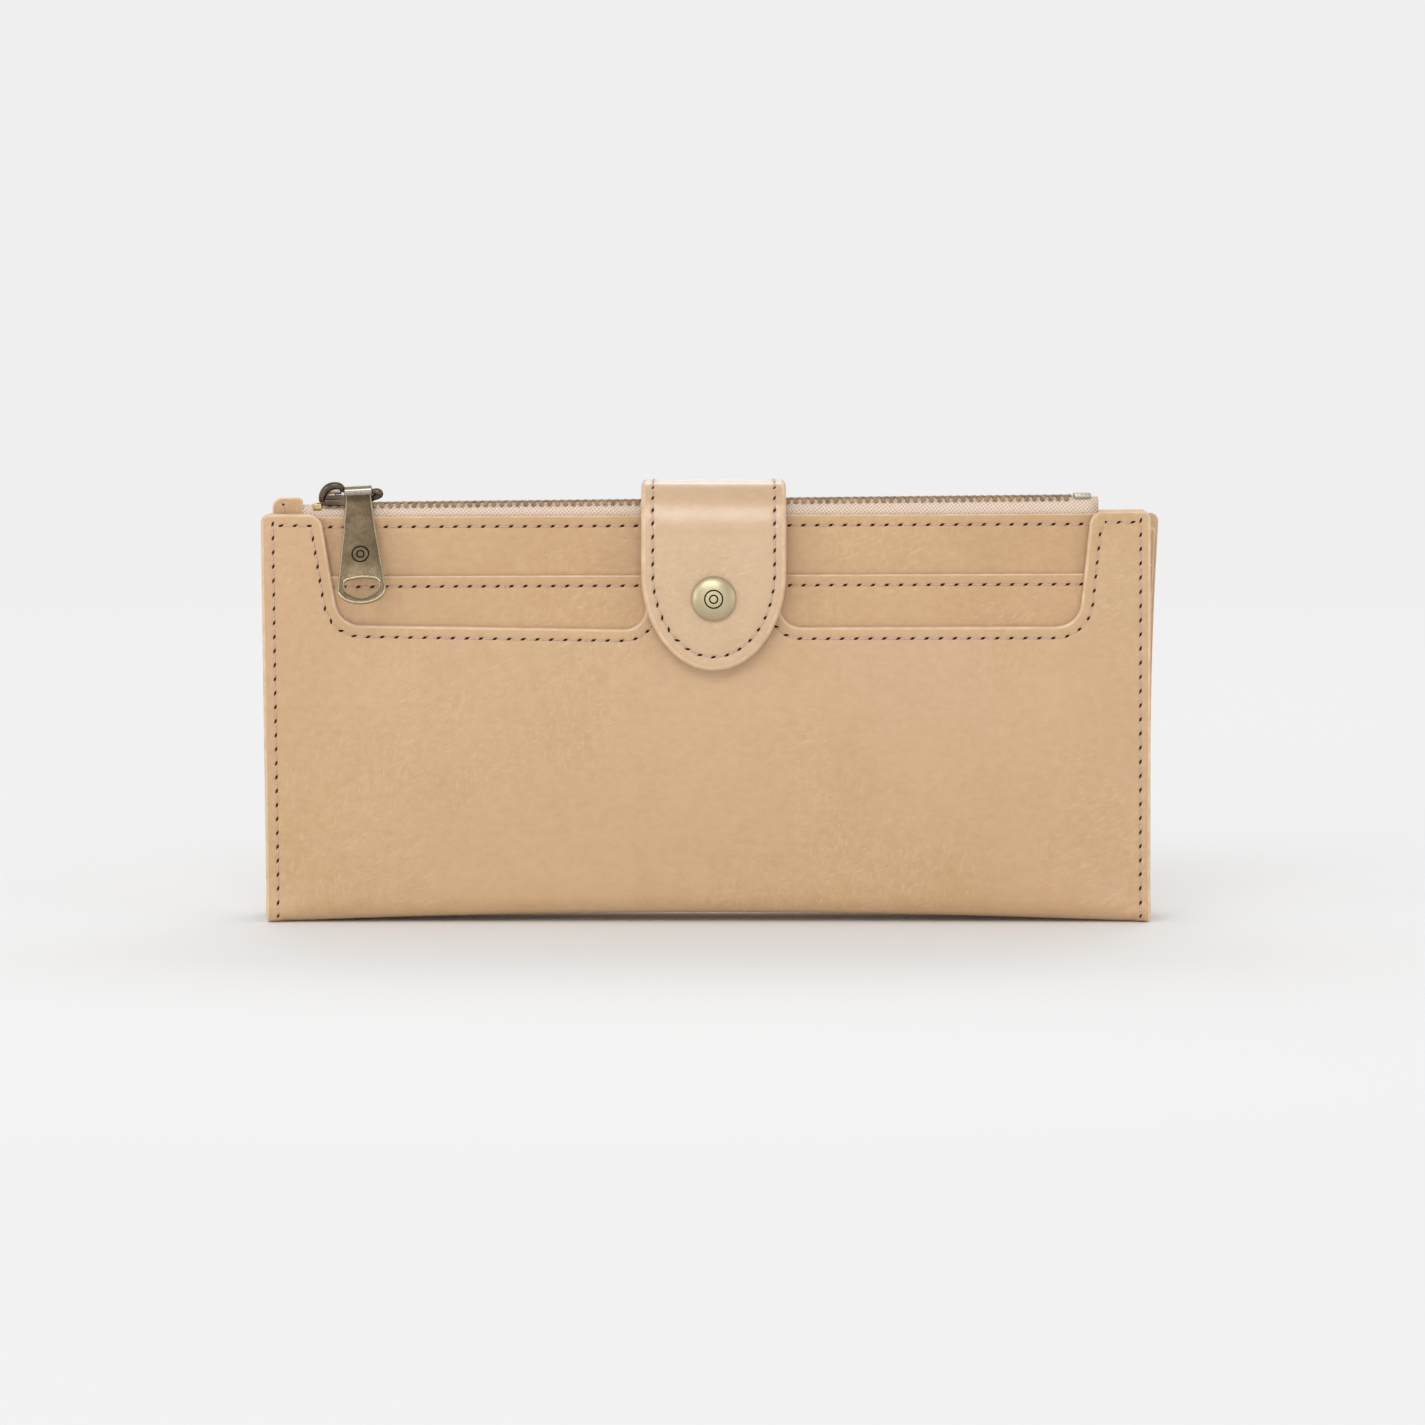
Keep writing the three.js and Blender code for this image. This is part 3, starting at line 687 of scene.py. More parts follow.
def leather_material(
        name, base, deep, rosy, pale, roughness, shift=0.0, grain_turn=0.0, coat=0.45, bloom=0.05):
    """Glazed hide: gentle shifts of hue, patches of fine pale wrinkles, fine grain and a soft shine."""
    material, tree, shader, coordinates = new_material(name)
    moved = tree.nodes.new("ShaderNodeMapping")
    moved.inputs["Location"].default_value = (shift, shift * 0.6, shift * 0.3)
    tree.links.new(coordinates, moved.inputs["Vector"])
    place = moved.outputs["Vector"]
    hue = ramp(tree, noise_field(tree, place, 17, 3, 0.55), 0.38, 0.64)
    depth = ramp(tree, noise_field(tree, place, 29, 4, 0.6), 0.42, 0.68)
    mottle = ramp(tree, noise_field(tree, place, 210, 4, 0.65), 0.3, 0.72)
    fibres = noise_field(tree, stretched(tree, place, (0.7, 1, 1.1), (0, grain_turn, 0)), 620, 5, 0.75)
    patches = ramp(tree, noise_field(tree, place, 31, 2, 0.5), 0.49, 0.6)
    other_patches = ramp(tree, noise_field(tree, stretched(tree, place, (1.4, 1, 0.9)), 27, 2, 0.5), 0.5, 0.6)
    upright = wrinkles(tree, place, math.radians(80))
    sloping = wrinkles(tree, place, math.radians(25))
    lines = combine(tree, "MAXIMUM", times(tree, upright, patches),
                    times(tree, sloping, other_patches))
    tone = mixed(tree, hue, base, rosy)
    tone = mixed(tree, times(tree, depth, 0.6), tone, deep)
    tone = mixed(tree, times(tree, mottle, 0.22), tone, deep)
    tone = mixed(tree, ramp(tree, fibres, 0.3, 0.7, 0.0, 0.28), tone, pale)
    tone = mixed(tree, times(tree, lines, 0.42), tone, pale)
    tree.links.new(tone, shader.inputs["Base Color"])
    dull = ramp(tree, mottle, 0, 1, roughness - 0.05, roughness + 0.08)
    tree.links.new(plus(tree, dull, times(tree, lines, 0.1)), shader.inputs["Roughness"])
    pores = noise_field(tree, place, 1700, 2, 0.5)
    height = plus(tree, times(tree, fibres, 0.6), times(tree, pores, 0.25))
    height = plus(tree, height, times(tree, lines, -0.5))
    height = plus(tree, height, times(tree, mottle, 0.6))
    bump(tree, shader, height, 0.3, 0.00012)
    shader.inputs["Specular IOR Level"].default_value = 0.5
    shader.inputs["Coat Weight"].default_value = coat
    shader.inputs["Coat Roughness"].default_value = 0.27
    shader.inputs["Sheen Weight"].default_value = bloom
    shader.inputs["Sheen Roughness"].default_value = 0.4
    return material


def edge_material(name, base, pale):
    """Painted and burnished cut edge."""
    material, tree, shader, coordinates = new_material(name)
    streak = noise_field(tree, stretched(tree, coordinates, (0.5, 1, 0.5)), 700, 3, 0.6)
    tree.links.new(mixed(tree, ramp(tree, streak, 0.35, 0.7), base, pale), shader.inputs["Base Color"])
    tree.links.new(ramp(tree, streak, 0.3, 0.7, 0.36, 0.5), shader.inputs["Roughness"])
    bump(tree, shader, streak, 0.3, 0.0001)
    shader.inputs["Specular IOR Level"].default_value = 0.4
    return material


def pit_painted_shade_material():
    """The inside of a needle hole: torn-looking fibres in near-black browns, which are painted shade."""
    material, tree, shader, coordinates = new_material("needle_hole_painted_shade")
    fluff = noise_field(tree, coordinates, 2500, 2, 0.6)
    # These near-black browns paint the shade inside the hole.
    dark, less_dark = linear(28, 13, 8), linear(58, 32, 20)
    tree.links.new(mixed(tree, fluff, dark, less_dark), shader.inputs["Base Color"])
    tree.links.new(ramp(tree, fluff, 0, 1, 0.7, 0.9), shader.inputs["Roughness"])
    return material


def thread_material():
    """Bonded thread with its twist."""
    material, tree, shader, coordinates = new_material("thread")
    twist = noise_field(tree, stretched(tree, coordinates, (1, 1, 1), (0.5, 0.6, 0.7)), 3800, 2, 0.5)
    pale, shade = linear(222, 192, 172), linear(186, 146, 120)
    tree.links.new(mixed(tree, ramp(tree, twist, 0.35, 0.65), shade, pale), shader.inputs["Base Color"])
    tree.links.new(ramp(tree, twist, 0.3, 0.7, 0.5, 0.68), shader.inputs["Roughness"])
    bump(tree, shader, twist, 0.5, 0.0001)
    return material


def band_field(tree, vector, scale, direction, distortion):
    node = tree.nodes.new("ShaderNodeTexWave")
    node.wave_type = "BANDS"
    node.bands_direction = direction
    node.wave_profile = "SIN"
    node.inputs["Scale"].default_value = scale
    node.inputs["Distortion"].default_value = distortion
    node.inputs["Detail"].default_value = 1.0
    tree.links.new(vector, node.inputs["Vector"])
    return node.outputs["Fac"]


def woven_material(name, pale, shade, pitch, slanted=False):
    """Plain or herringbone cloth with threads at that pitch, in metres."""
    material, tree, shader, coordinates = new_material(name)
    scale = 2 * math.pi / 20 / pitch
    turn = (0, math.radians(38), 0) if slanted else (0, 0, 0)
    turned = stretched(tree, coordinates, (1, 1, 1), turn)
    warp = band_field(tree, turned, scale, "X", 0.6)
    weft = band_field(tree, turned, scale, "Z", 0.6)
    weave = combine(tree, "MAXIMUM", times(tree, warp, 0.9), times(tree, weft, 0.9))
    fluff = noise_field(tree, coordinates, 1800, 3, 0.6)
    weave = plus(tree, times(tree, weave, 0.8), times(tree, fluff, 0.35))
    tree.links.new(mixed(tree, ramp(tree, weave, 0.3, 1.0), shade, pale), shader.inputs["Base Color"])
    tree.links.new(ramp(tree, fluff, 0.2, 0.8, 0.75, 0.95), shader.inputs["Roughness"])
    bump(tree, shader, weave, 0.6, pitch * 0.4)
    shader.inputs["Sheen Weight"].default_value = 0.25
    return material


def metal_material(name, bright, dark, roughness, brushed=(1, 1, 1), tarnish=0.5, scale=500):
    """Antiqued brass: darker tarnish in cloudy patches, and brush lines."""
    material, tree, shader, coordinates = new_material(name)
    patches = noise_field(tree, coordinates, 260, 4, 0.6)
    lines = noise_field(tree, stretched(tree, coordinates, brushed), scale, 4, 0.7)
    blend = plus(tree, times(tree, patches, 0.55), times(tree, lines, 0.45))
    amount = ramp(tree, blend, 0.28, 0.72, tarnish * 0.4, min(1.0, tarnish * 1.6))
    tree.links.new(mixed(tree, amount, bright, dark), shader.inputs["Base Color"])
    tree.links.new(ramp(tree, lines, 0.3, 0.7, roughness - 0.06, roughness + 0.1), shader.inputs["Roughness"])
    bump(tree, shader, lines, 0.25, 0.00005)
    shader.inputs["Metallic"].default_value = 1.0
    return material


HIDE = leather_material(
    "hide",
    linear(197, 162, 119), linear(187, 149, 102), linear(199, 160, 121), linear(224, 192, 152),
    roughness=0.42)
POCKET_HIDE = leather_material(
    "pocket_hide",
    linear(193, 156, 110), linear(179, 138, 91), linear(194, 153, 110), linear(222, 188, 145),
    roughness=0.42, shift=0.4, grain_turn=0.5)
STRAP_HIDE = leather_material(
    "strap_hide",
    linear(198, 165, 126), linear(191, 155, 112), linear(204, 168, 133), linear(226, 198, 162),
    roughness=0.34, shift=0.9, coat=1.0, bloom=0.9)
EDGE = edge_material("edge_paint", linear(212, 178, 144), linear(228, 198, 166))
PIT_PAINTED_SHADE = pit_painted_shade_material()
# The needle holes' near-black colour is painted shade.
THREAD = thread_material()
LINING = woven_material("lining_cloth", linear(198, 165, 125), linear(154, 118, 82), 0.0004)
TAPE = woven_material("zip_tape_cloth", linear(240, 222, 204), linear(198, 170, 148), 0.0006, slanted=True)
BRASS = metal_material(
    "antique_brass", linear(134, 118, 93), linear(58, 48, 36), 0.36, brushed=(7, 7, 0.18), tarnish=0.55)
DARK_BRASS = metal_material(
    "dark_brass", linear(138, 122, 104), linear(52, 42, 34), 0.3, tarnish=0.55, scale=700)
WORN_BRASS = metal_material(
    "worn_brass_edge", linear(214, 200, 168), linear(150, 132, 100), 0.22, tarnish=0.3)
TOOTH_BRASS = metal_material("tooth_brass", linear(182, 154, 122), linear(84, 62, 46), 0.34, tarnish=0.5)
STOP_BRASS = metal_material("stop_brass", linear(206, 184, 128), linear(136, 110, 66), 0.26, tarnish=0.35)
NICKEL = metal_material("stop_nickel", linear(214, 208, 190), linear(140, 128, 104), 0.25, tarnish=0.4)
CAP_BRASS = metal_material(
    "cap_brass", linear(211, 199, 165), linear(146, 128, 90), 0.38, tarnish=0.3, scale=120)
BARREL_BRASS = metal_material("worn_barrel", linear(184, 176, 164), linear(104, 94, 80), 0.2, tarnish=0.35)
PIT_BRASS = metal_material("blackened_brass", linear(52, 42, 30), linear(20, 15, 10), 0.5, tarnish=0.7)

# The materials of a layer's faces, of its rim and of its needle holes, whose near-black is painted shade.
LAYER = [HIDE, EDGE, PIT_PAINTED_SHADE]
POCKET_LAYER = [POCKET_HIDE, EDGE, PIT_PAINTED_SHADE]
STRAP_LAYER = [STRAP_HIDE, EDGE, PIT_PAINTED_SHADE]
CLOTH_LAYER = [LINING, LINING, PIT_PAINTED_SHADE]


def finish_piece(piece, body, slot, *nodes):
    """Attaches a piece to its body and hides the CAD nodes it stands for. slot is not used."""
    if body:
        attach(piece, body)
    if nodes:
        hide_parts(*nodes)


# ---------------------------------------------------------------- covers, wrapped round the fold

FOLD_ARC = FOLD_RADIUS * math.pi / 2
FLOOR_RUN = -FRONT - FOLD_RADIUS  # from the middle of the fold to the start of its arc
FACE_START = FLOOR_RUN + FOLD_ARC  # distance along the cover at which its upright face begins


def wrap_cover(side):
    """place() for a cover. Its second coordinate is height on the face, and goes on below zero round the fold
    to the middle of the base. side is -1 for the front cover and 1 for the back one."""
    def place(x, height, depth):
        run = height - FOLD_RADIUS + FACE_START
        if run >= FACE_START:
            y, z = -side * FRONT - side * depth, height
        elif run >= FLOOR_RUN:
            angle = (run - FLOOR_RUN) / FOLD_RADIUS
            radius = FOLD_RADIUS - depth
            y = side * (FLOOR_RUN + radius * math.sin(angle))
            z = FOLD_RADIUS - radius * math.cos(angle)
        else:
            y, z = side * run, depth
        return settle((x, y, z), side if run > FLOOR_RUN else 0)
    return place


MIDDLE_HEIGHT = FOLD_RADIUS - FACE_START  # the cover's height coordinate at the middle of the base


def front_cover_corners():
    post_left = STRAP_X - STRAP_HALF + POST_LEFT_INSET
    post_right = STRAP_X + STRAP_HALF - POST_RIGHT_INSET
    return [
        (-HALF, MIDDLE_HEIGHT),
        (HALF, MIDDLE_HEIGHT),
        (HALF, COVER_TOP, CORNER_RADIUS),
        (HALF - EAR_WIDTH - EAR_RADIUS, COVER_TOP, EAR_RADIUS),
        (HALF - EAR_FOOT_WIDTH, RECESS_BOTTOM, RECESS_RADIUS),
        (post_right, RECESS_BOTTOM, POST_FOOT_RADIUS),
        (post_right, POST_TOP, POST_RADIUS),
        (post_left, POST_TOP, POST_RADIUS),
        (post_left, RECESS_BOTTOM - POST_FOOT_DROP, POST_FOOT_RADIUS),
        (LEFT_EAR_FOOT_WIDTH - HALF, RECESS_BOTTOM + RECESS_LEFT_RISE, RECESS_RADIUS),
        (EAR_WIDTH + EAR_RADIUS - HALF, COVER_TOP, EAR_RADIUS),
        (-HALF, COVER_TOP, CORNER_RADIUS),
    ]


def back_cover_corners():
    return [
        (-HALF, MIDDLE_HEIGHT),
        (HALF, MIDDLE_HEIGHT),
        (HALF, COVER_TOP, CORNER_RADIUS),
        (-HALF, COVER_TOP, CORNER_RADIUS),
    ]


def side_seam(x, top):
    """A straight seam up a side edge."""
    return along([Vector((x, SEAM_BOTTOM)), Vector((x, top))], STITCH_PITCH)


def front_cover():
    """The front cover, from the middle of the base round the fold to its ears and post."""
    corners = front_cover_corners()
    seam_loop = filleted(inset_corners(corners, STITCH_INSET), longest=0.5)
    side_x = HALF - SIDE_STITCH_INSET
    top_z = COVER_TOP - STITCH_INSET
    recess_path = stretch(seam_loop, (side_x - EAR_SEAM_START, top_z), (EAR_SEAM_END - side_x, top_z))
    seams = [
        along(recess_path, STITCH_PITCH * 0.985),
        side_seam(-side_x + LEFT_SEAM_SHIFT, COVER_TOP - SIDE_SEAM_DROP),
        side_seam(side_x - RIGHT_SEAM_SHIFT, COVER_TOP - SIDE_SEAM_DROP),
    ]
    place = wrap_cover(-1)
    cover = plate(
        "front_cover_hide", corners, COVER_THICKNESS, place, LAYER, roll=(0.6, 0.7), seams=seams,
        holes=[((STRAP_X, SNAP_Z), 1.6)])
    thread = stitches("front_cover_stitches", seams, place, THREAD)
    for piece in (cover, thread):
        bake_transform(piece)
    finish_piece(cover, None, "leather", "front_cover", "spine_cover")
    finish_piece(thread, None, "thread")


def back_cover():
    """The back cover, from the middle of the base round the fold to its straight top."""
    corners = back_cover_corners()
    side_x = HALF - SIDE_STITCH_INSET
    top_z = COVER_TOP - STITCH_INSET
    top = along([Vector((side_x, top_z)), Vector((-side_x, top_z))], STITCH_PITCH)
    sides = [side_seam(x, COVER_TOP - SIDE_SEAM_DROP) for x in (-side_x, side_x)]
    seams = [top[1:-1], *sides]
    wrapped = wrap_cover(1)

    def place(x, height, depth):
        return wrapped(-x, height, depth)

    cover = plate("back_cover_hide", corners, COVER_THICKNESS, place, LAYER, roll=(0.6, 0.7), seams=seams)
    thread = stitches("back_cover_stitches", seams, place, THREAD)
    for piece in (cover, thread):
        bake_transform(piece)
    finish_piece(cover, None, "leather", "back_cover")
    finish_piece(thread, None, "thread")


# ---------------------------------------------------------------- flat layers of a leaf

def flat_place(front, leaf):
    """place() for a flat layer whose front face is at y = front."""
    def place(x, z, depth):
        return settle((x, front + depth, z), leaf)
    return place


def leaf_layer(node, corners, leaf, body, materials, slot, seams=(), roll=(0.35, 0.4)):
    """The detailed layer for a CAD node, and its thread."""
    low, high = box_mm(node)
    place = flat_place(low.y, leaf)
    piece = plate(f"{node}_layer", corners, high.y - low.y, place, materials, roll=roll, seams=seams)
    finish_piece(piece, body, slot, node)
    if seams:
        thread = stitches(f"{node}_stitches", seams, place, THREAD)
        finish_piece(thread, body, "thread")


def lining(node, leaf, body):
    leaf_layer(node, corners_of(node), leaf, body, CLOTH_LAYER, "cloth", roll=(0.2, 0.2))


def top_seam(left, right, z):
    return along([Vector((left, z)), Vector((right, z))], STITCH_PITCH * 0.98)


def corners_of(node):
    low, high = box_mm(node)
    return rectangle(low.x, high.x, low.z, high.z, 1.0)


def card_panels():
    """The two card panels that show in the front cover's recesses, and the cloth behind them."""
    for node in ("lower_card_panel", "upper_card_panel"):
        low, high = box_mm(node)
        seam = top_seam(low.x + CARD_SEAM_INSET, high.x - CARD_SEAM_INSET, high.z - POCKET_SEAM_DROP)
        leaf_layer(node, corners_of(node), -1, "front_leaf", POCKET_LAYER, "leather", [seam])
    lining("card_pocket_lining", -1, "front_leaf")


def inner_layers():
    """What shows when the wallet is open: the slip pocket, the card tiers and the note pocket."""
    for node in ("zip_pocket_rear_wall", "inner_slip_pocket"):
        leaf_layer_inside(node, -1, "front_leaf")
    tiers = [f"inner_card_panel_{tier}" for tier in (1, 2, 3, 4)]
    for node in tiers + ["note_pocket_front"]:
        low, high = box_mm(node)
        seam_z = high.z - POCKET_SEAM_DROP
        seams = [top_seam(low.x + TIER_SEAM_INSET, high.x - TIER_SEAM_INSET, seam_z)]
        if node in tiers:
            seams.append(along([Vector((0, high.z - DIVIDER_DROP)), Vector((0, seam_z))], STITCH_PITCH))
        leaf_layer(node, corners_of(node), 1, "rear_leaf", POCKET_LAYER, "leather", seams)
    lining("note_pocket_lining", 1, "rear_leaf")
    fold_lining()


def leaf_layer_inside(node, leaf, body):
    """A layer whose good side faces the inside of the wallet, towards +Y."""
    low, high = box_mm(node)
    high.z -= 0.5

    def place(x, z, depth):
        return settle((-x, high.y - depth, z), leaf)

    corners = rectangle(-high.x, -low.x, low.z, high.z, 1.0)
    seam = top_seam(TIER_SEAM_INSET - high.x, -low.x - TIER_SEAM_INSET, high.z - POCKET_SEAM_DROP)
    piece = plate(f"{node}_layer", corners, high.y - low.y, place, POCKET_LAYER, seams=[seam])
    thread = stitches(f"{node}_stitches", [seam], place, THREAD)
    finish_piece(piece, body, "leather", node)
    finish_piece(thread, body, "thread")


def fold_lining():
    """The lining across the fold."""
    low, high = box_mm("spine_lining")

    def place(x, y, depth):
        return settle((x, y, high.z - depth), 0)

    corners = rectangle(low.x, high.x, low.y, high.y, 1.0)
    piece = plate("fold_lining", corners, high.z - low.z, place, CLOTH_LAYER, roll=(0.2, 0.2))
    finish_piece(piece, "fold", "cloth", "spine_lining")


# ---------------------------------------------------------------- zip

ZIP_LIFT = 0.1
TAPE_HALF = 0.25  # half the tape's thickness
TAPE_HEAD = 2.3  # how far the visible tape runs past the CAD's at the left
TAPE_TAIL = 1.4  # and at the right, where it ends raw
TAPE_COLUMNS = 60
TOOTH_PITCH = 1.7
FIRST_TOOTH = 0.3
TOOTH_CLAMP = 2.15  # from the zip's middle to the back of a tooth


def chain_slope():
    """How steeply the slider climbs along the zip, as rise over run."""
    axis = joint("zip_slide")["axis"]
    return axis[2] / axis[0]


def zip_lift(point):
    """The zip rises towards its right end, along the slider's path. settle() has done part of it."""
    rise = (chain_slope() - LEAF_SLOPE) * (point.x - CHAIN_LOW.x)
    return Vector((point.x, point.y, point.z + ZIP_LIFT + rise))


def zip_profile(side):
    """The tape's path from its sewn foot up to the teeth, as (y, z) points. side is -1 in front."""
    foot_y = TAPE_LOW.y + TAPE_HALF if side < 0 else 2 * CHAIN_Y - TAPE_LOW.y - TAPE_HALF
    top = CHAIN_LOW.z + 0.55
    bend = CHAIN_LOW.z - 1.4
    points = [Vector((foot_y, TAPE_LOW.z)), Vector((foot_y, bend))]
    reach = 1.35
    for step in range(1, 7):
        angle = math.pi / 2 * step / 6
        points.append(Vector((
            foot_y - side * reach * (1 - math.cos(angle)),
            bend + (top - bend) * math.sin(angle),
        )))
    return points


def on_zip(point):
    """Where a point of the straight zip lies on the real wallet."""
    return zip_lift(settle(point, -1))


def tape(name, node, side):
    """One zip tape: a strip along X with its profile in Y and Z."""
    low, high = box_mm(node)
    profile = subdivided(zip_profile(side), False, 1.5)
    normals = []
    for index, here in enumerate(profile):
        following = profile[min(index + 1, len(profile) - 1)]
        direction = unit(following - profile[max(index - 1, 0)])
        normals.append(Vector((-direction.y, direction.x)))
    section = [p + n * TAPE_HALF for p, n in zip(profile, normals)]
    section += [p - n * TAPE_HALF for p, n in reversed(list(zip(profile, normals)))]
    builder = Builder()
    rings = []
    start = low.x - TAPE_HEAD
    end = high.x + TAPE_TAIL
    for column in range(TAPE_COLUMNS + 1):
        x = start + (end - start) * column / TAPE_COLUMNS
        rings.append([builder.point(on_zip((x, p.x, p.y))) for p in section])
    for ring, other in zip(rings, rings[1:]):
        builder.strip(ring, other)
    builder.face(reversed(rings[0]))
    builder.face(rings[-1])
    piece = builder.make(name, [TAPE])
    finish_piece(piece, "front_leaf", "zip_tape", node)


def tooth_outline():
    """A tooth from above, pointing along +Y from its clamp to its head: (x, y) points."""
    return [
        (-0.45, 0.0), (0.45, 0.0), (0.45, 1.1), (0.3, 1.4), (0.26, 2.0),
        (0.42, 2.35), (0.36, 2.75), (-0.36, 2.75), (-0.42, 2.35), (-0.26, 2.0), (-0.3, 1.4), (-0.45, 1.1),
    ]


def teeth(name, node, side):
    """A row of separate teeth clamped on the tape's edge."""
    builder = Builder()
    outline = tooth_outline()
    first = CHAIN_LOW.x + (FIRST_TOOTH if side < 0 else FIRST_TOOTH + TOOTH_PITCH / 2)
    count = int((CHAIN_HIGH.x - first) / TOOTH_PITCH) + 1
    start_y = CHAIN_Y + side * TOOTH_CLAMP
    bottom = CHAIN_LOW.z + 0.05
    for index in range(count):
        x = first + index * TOOTH_PITCH
        rings = []
        for z, scale in ((0.0, 0.8), (0.16, 1.0), (1.0, 1.0), (1.2, 0.75)):
            ring = []
            for u, v in outline:
                v_scaled = 1.38 + (v - 1.38) * (0.94 + 0.06 * scale)
                point = (x + u * scale, start_y - side * v_scaled, bottom + z)
                ring.append(builder.point(on_zip(point)))
            rings.append(ring if side > 0 else list(reversed(ring)))
        for ring, other in zip(rings, rings[1:]):
            builder.strip(list(reversed(ring)), list(reversed(other)))
        builder.face(rings[0])
        builder.face(reversed(rings[-1]))
    piece = builder.make(name, [TOOTH_BRASS], flat=True)
    finish_piece(piece, "front_leaf", "brass", node)


def rounded_block(name, low, high, radius, material, place=None):
    """A block with rounded vertical and horizontal edges, as a lofted stack of rounded rectangles."""
    builder = Builder()
    outline_corners = rectangle(low.x, high.x, low.y, high.y, radius * 1.4)
    loop = filleted(outline_corners, longest=3)
    rings = []
    steps = 3
    levels = []
    for step in range(steps + 1):
        angle = math.pi / 2 * step / steps
        levels.append((radius * (1 - math.sin(angle)), low.z + radius * (1 - math.cos(angle))))
    levels += [(inset, high.z - (z - low.z)) for inset, z in reversed(levels)]
    for inset, z in levels:
        ring = []
        for p in pushed_in(loop, inset):
            point = Vector((p.x, p.y, z))
            ring.append(builder.point(place(point) if place else point))
        rings.append(ring)
    for ring, other in zip(rings, rings[1:]):
        builder.strip(ring, other)
    builder.face(reversed(rings[0]))
    builder.face(rings[-1])
    return builder.make(name, [material])


def zip_stops():
    """The clips that end the teeth: brass ones at the left, and a nickel one at the right."""
    for node in ("zip_top_stop_front", "zip_top_stop_rear", "zip_bottom_stop"):
        low, high = box_mm(node)
        right = node == "zip_bottom_stop"
        for corner in (low, high):
            corner.z -= chain_slope() * (corner.x - CHAIN_LOW.x)
        shift = Vector((0, 0, 0.2)) if right else Vector((1.4, 0, -0.3))
        low = low + shift - Vector((0, 0.15, -0.3 if right else 0.1))
        high = high + shift + Vector((0, 0.15, 0.1))
        metal = NICKEL if right else STOP_BRASS
        piece = rounded_block(f"{node}_clip", low, high, 0.3, metal, on_zip)
        finish_piece(piece, "front_leaf", "bright_brass", node)


def zip_end_tabs():
    """The leather that covers the tapes' ends. The left one stands up behind its ear."""
    for node in ("zip_end_tab_left", "zip_end_tab_right"):
        low, high = box_mm(node)
        left = node.endswith("left")
        start, end, top = low.x, high.x, high.z - 0.9
        if left:
            start, end, top = low.x + 0.6, high.x - 0.4, high.z + 1.0
        corners = [
            (start, low.z, 1.0),
            (end, low.z, 1.0),
            (end, top, 1.0),
            (start, top, 2.2 if left else 1.2),
        ]
        x = start + 2.4 if left else end - 3.2
        seam = along([Vector((x, low.z + 4)), Vector((x, top - 1.3))], STITCH_PITCH)
        leaf_layer(node, corners, -1, "front_leaf", POCKET_LAYER, "leather", [seam])


def zip_parts():
    tape("zip_tape_front_strip", "zip_tape_front", -1)
    tape("zip_tape_rear_strip", "zip_tape_rear", 1)
    teeth("zip_teeth_front_row", "zip_teeth_front", -1)
    teeth("zip_teeth_rear_row", "zip_teeth_rear", 1)
    zip_stops()
    zip_end_tabs()


# ---------------------------------------------------------------- slider and pull

def bevelled(piece, width, segments=3, material=0):
    modifier = piece.modifiers.new("edges", "BEVEL")
    modifier.width = width * MM
    modifier.segments = segments
    modifier.limit_method = "ANGLE"
    modifier.angle_limit = math.radians(35)
    modifier.material = material
    return piece


def extruded(name, loop, depth, transform, materials, holes=()):
    """A solid from an outline loop in (u, v), from w = 0 to depth, placed by transform(u, v, w)."""
    builder = Builder()
    faces = []
    for level, flip in ((0, True), (depth, False)):
        face = Face(builder, transform, level, flip)
        face.loop(loop, [builder.point(transform(p.x, p.y, level)) for p in loop])
        for number, hole in enumerate(holes, 1):
            face.loop(hole, [builder.point(transform(p.x, p.y, level)) for p in hole], number)
        faces.append(face)
    front, back = (face.owners for face in faces)
    start = 0
    for index, outline in enumerate([loop, *holes]):
        end = start + len(outline)
        ring, other = front[start:end], back[start:end]
        if index == 0:
            ring, other = ring[::-1], other[::-1]
        builder.strip(ring, other)
        start = end
    for face in faces:
        face.fill()
    return builder.make(name, materials)


PULL_SHIFT = 0.9  # how far along the zip it hangs from its place in the CAD
PULL_AXIS = Vector(joint("pull_swing")["pos_m"]) / MM + Vector((PULL_SHIFT, 0, 0))
PULL_TILT = math.radians(25)
PULL_LENGTH = 26.7
PULL_SKEW = math.radians(3.4)  # how far it hangs askew on its bar
RING_DROP = 14.6  # from the bar to the pressed rings
PULL_TOP_HALF = 2.75
PULL_FOOT_HALF = 5.2
PULL_FRONT = 0.6  # the plate's front face, in front of the bail bar's axis
PULL_THICKNESS = 0.95
BARREL_RADIUS = 1.28
BARREL_LENGTH = 5.9
BORE_RADIUS = 0.74


def hang(u, v, w):
    """From the pull's own frame, with u along X, v up from the bail bar and w towards the front."""
    x = u * math.cos(PULL_SKEW) - v * math.sin(PULL_SKEW)
    up = u * math.sin(PULL_SKEW) + v * math.cos(PULL_SKEW)
    y = up * math.sin(PULL_TILT) - w * math.cos(PULL_TILT)
    z = up * math.cos(PULL_TILT) + w * math.sin(PULL_TILT)
    return PULL_AXIS + Vector((x, y, z))


def curve_points(start, control_1, control_2, end, steps):
    """Points along a cubic curve, without its first point."""
    points = []
    for step in range(1, steps + 1):
        t = step / steps
        points.append(
            start * (1 - t) ** 3 + control_1 * (3 * t * (1 - t) ** 2)
            + control_2 * (3 * t * t * (1 - t)) + end * t ** 3)
    return points


def pull_loop():
    """The pull's outline from its barrel down round its foot, counter-clockwise."""
    foot = 4.1 - PULL_LENGTH
    top_left = Vector((-PULL_TOP_HALF, -0.85))
    top_right = Vector((PULL_TOP_HALF, -0.85))
    left = Vector((-PULL_FOOT_HALF, foot))
    right = Vector((PULL_FOOT_HALF, foot))
    low = -PULL_LENGTH - 0.2
    loop = [top_left] + curve_points(top_left, Vector((-3.2, -8)), Vector((-4.3, -15)), left, 10)
    loop += curve_points(left, Vector((-4.7, low)), Vector((4.7, low)), right, 18)
    loop += curve_points(right, Vector((4.3, -15)), Vector((3.2, -8)), top_right, 10)
    return loop


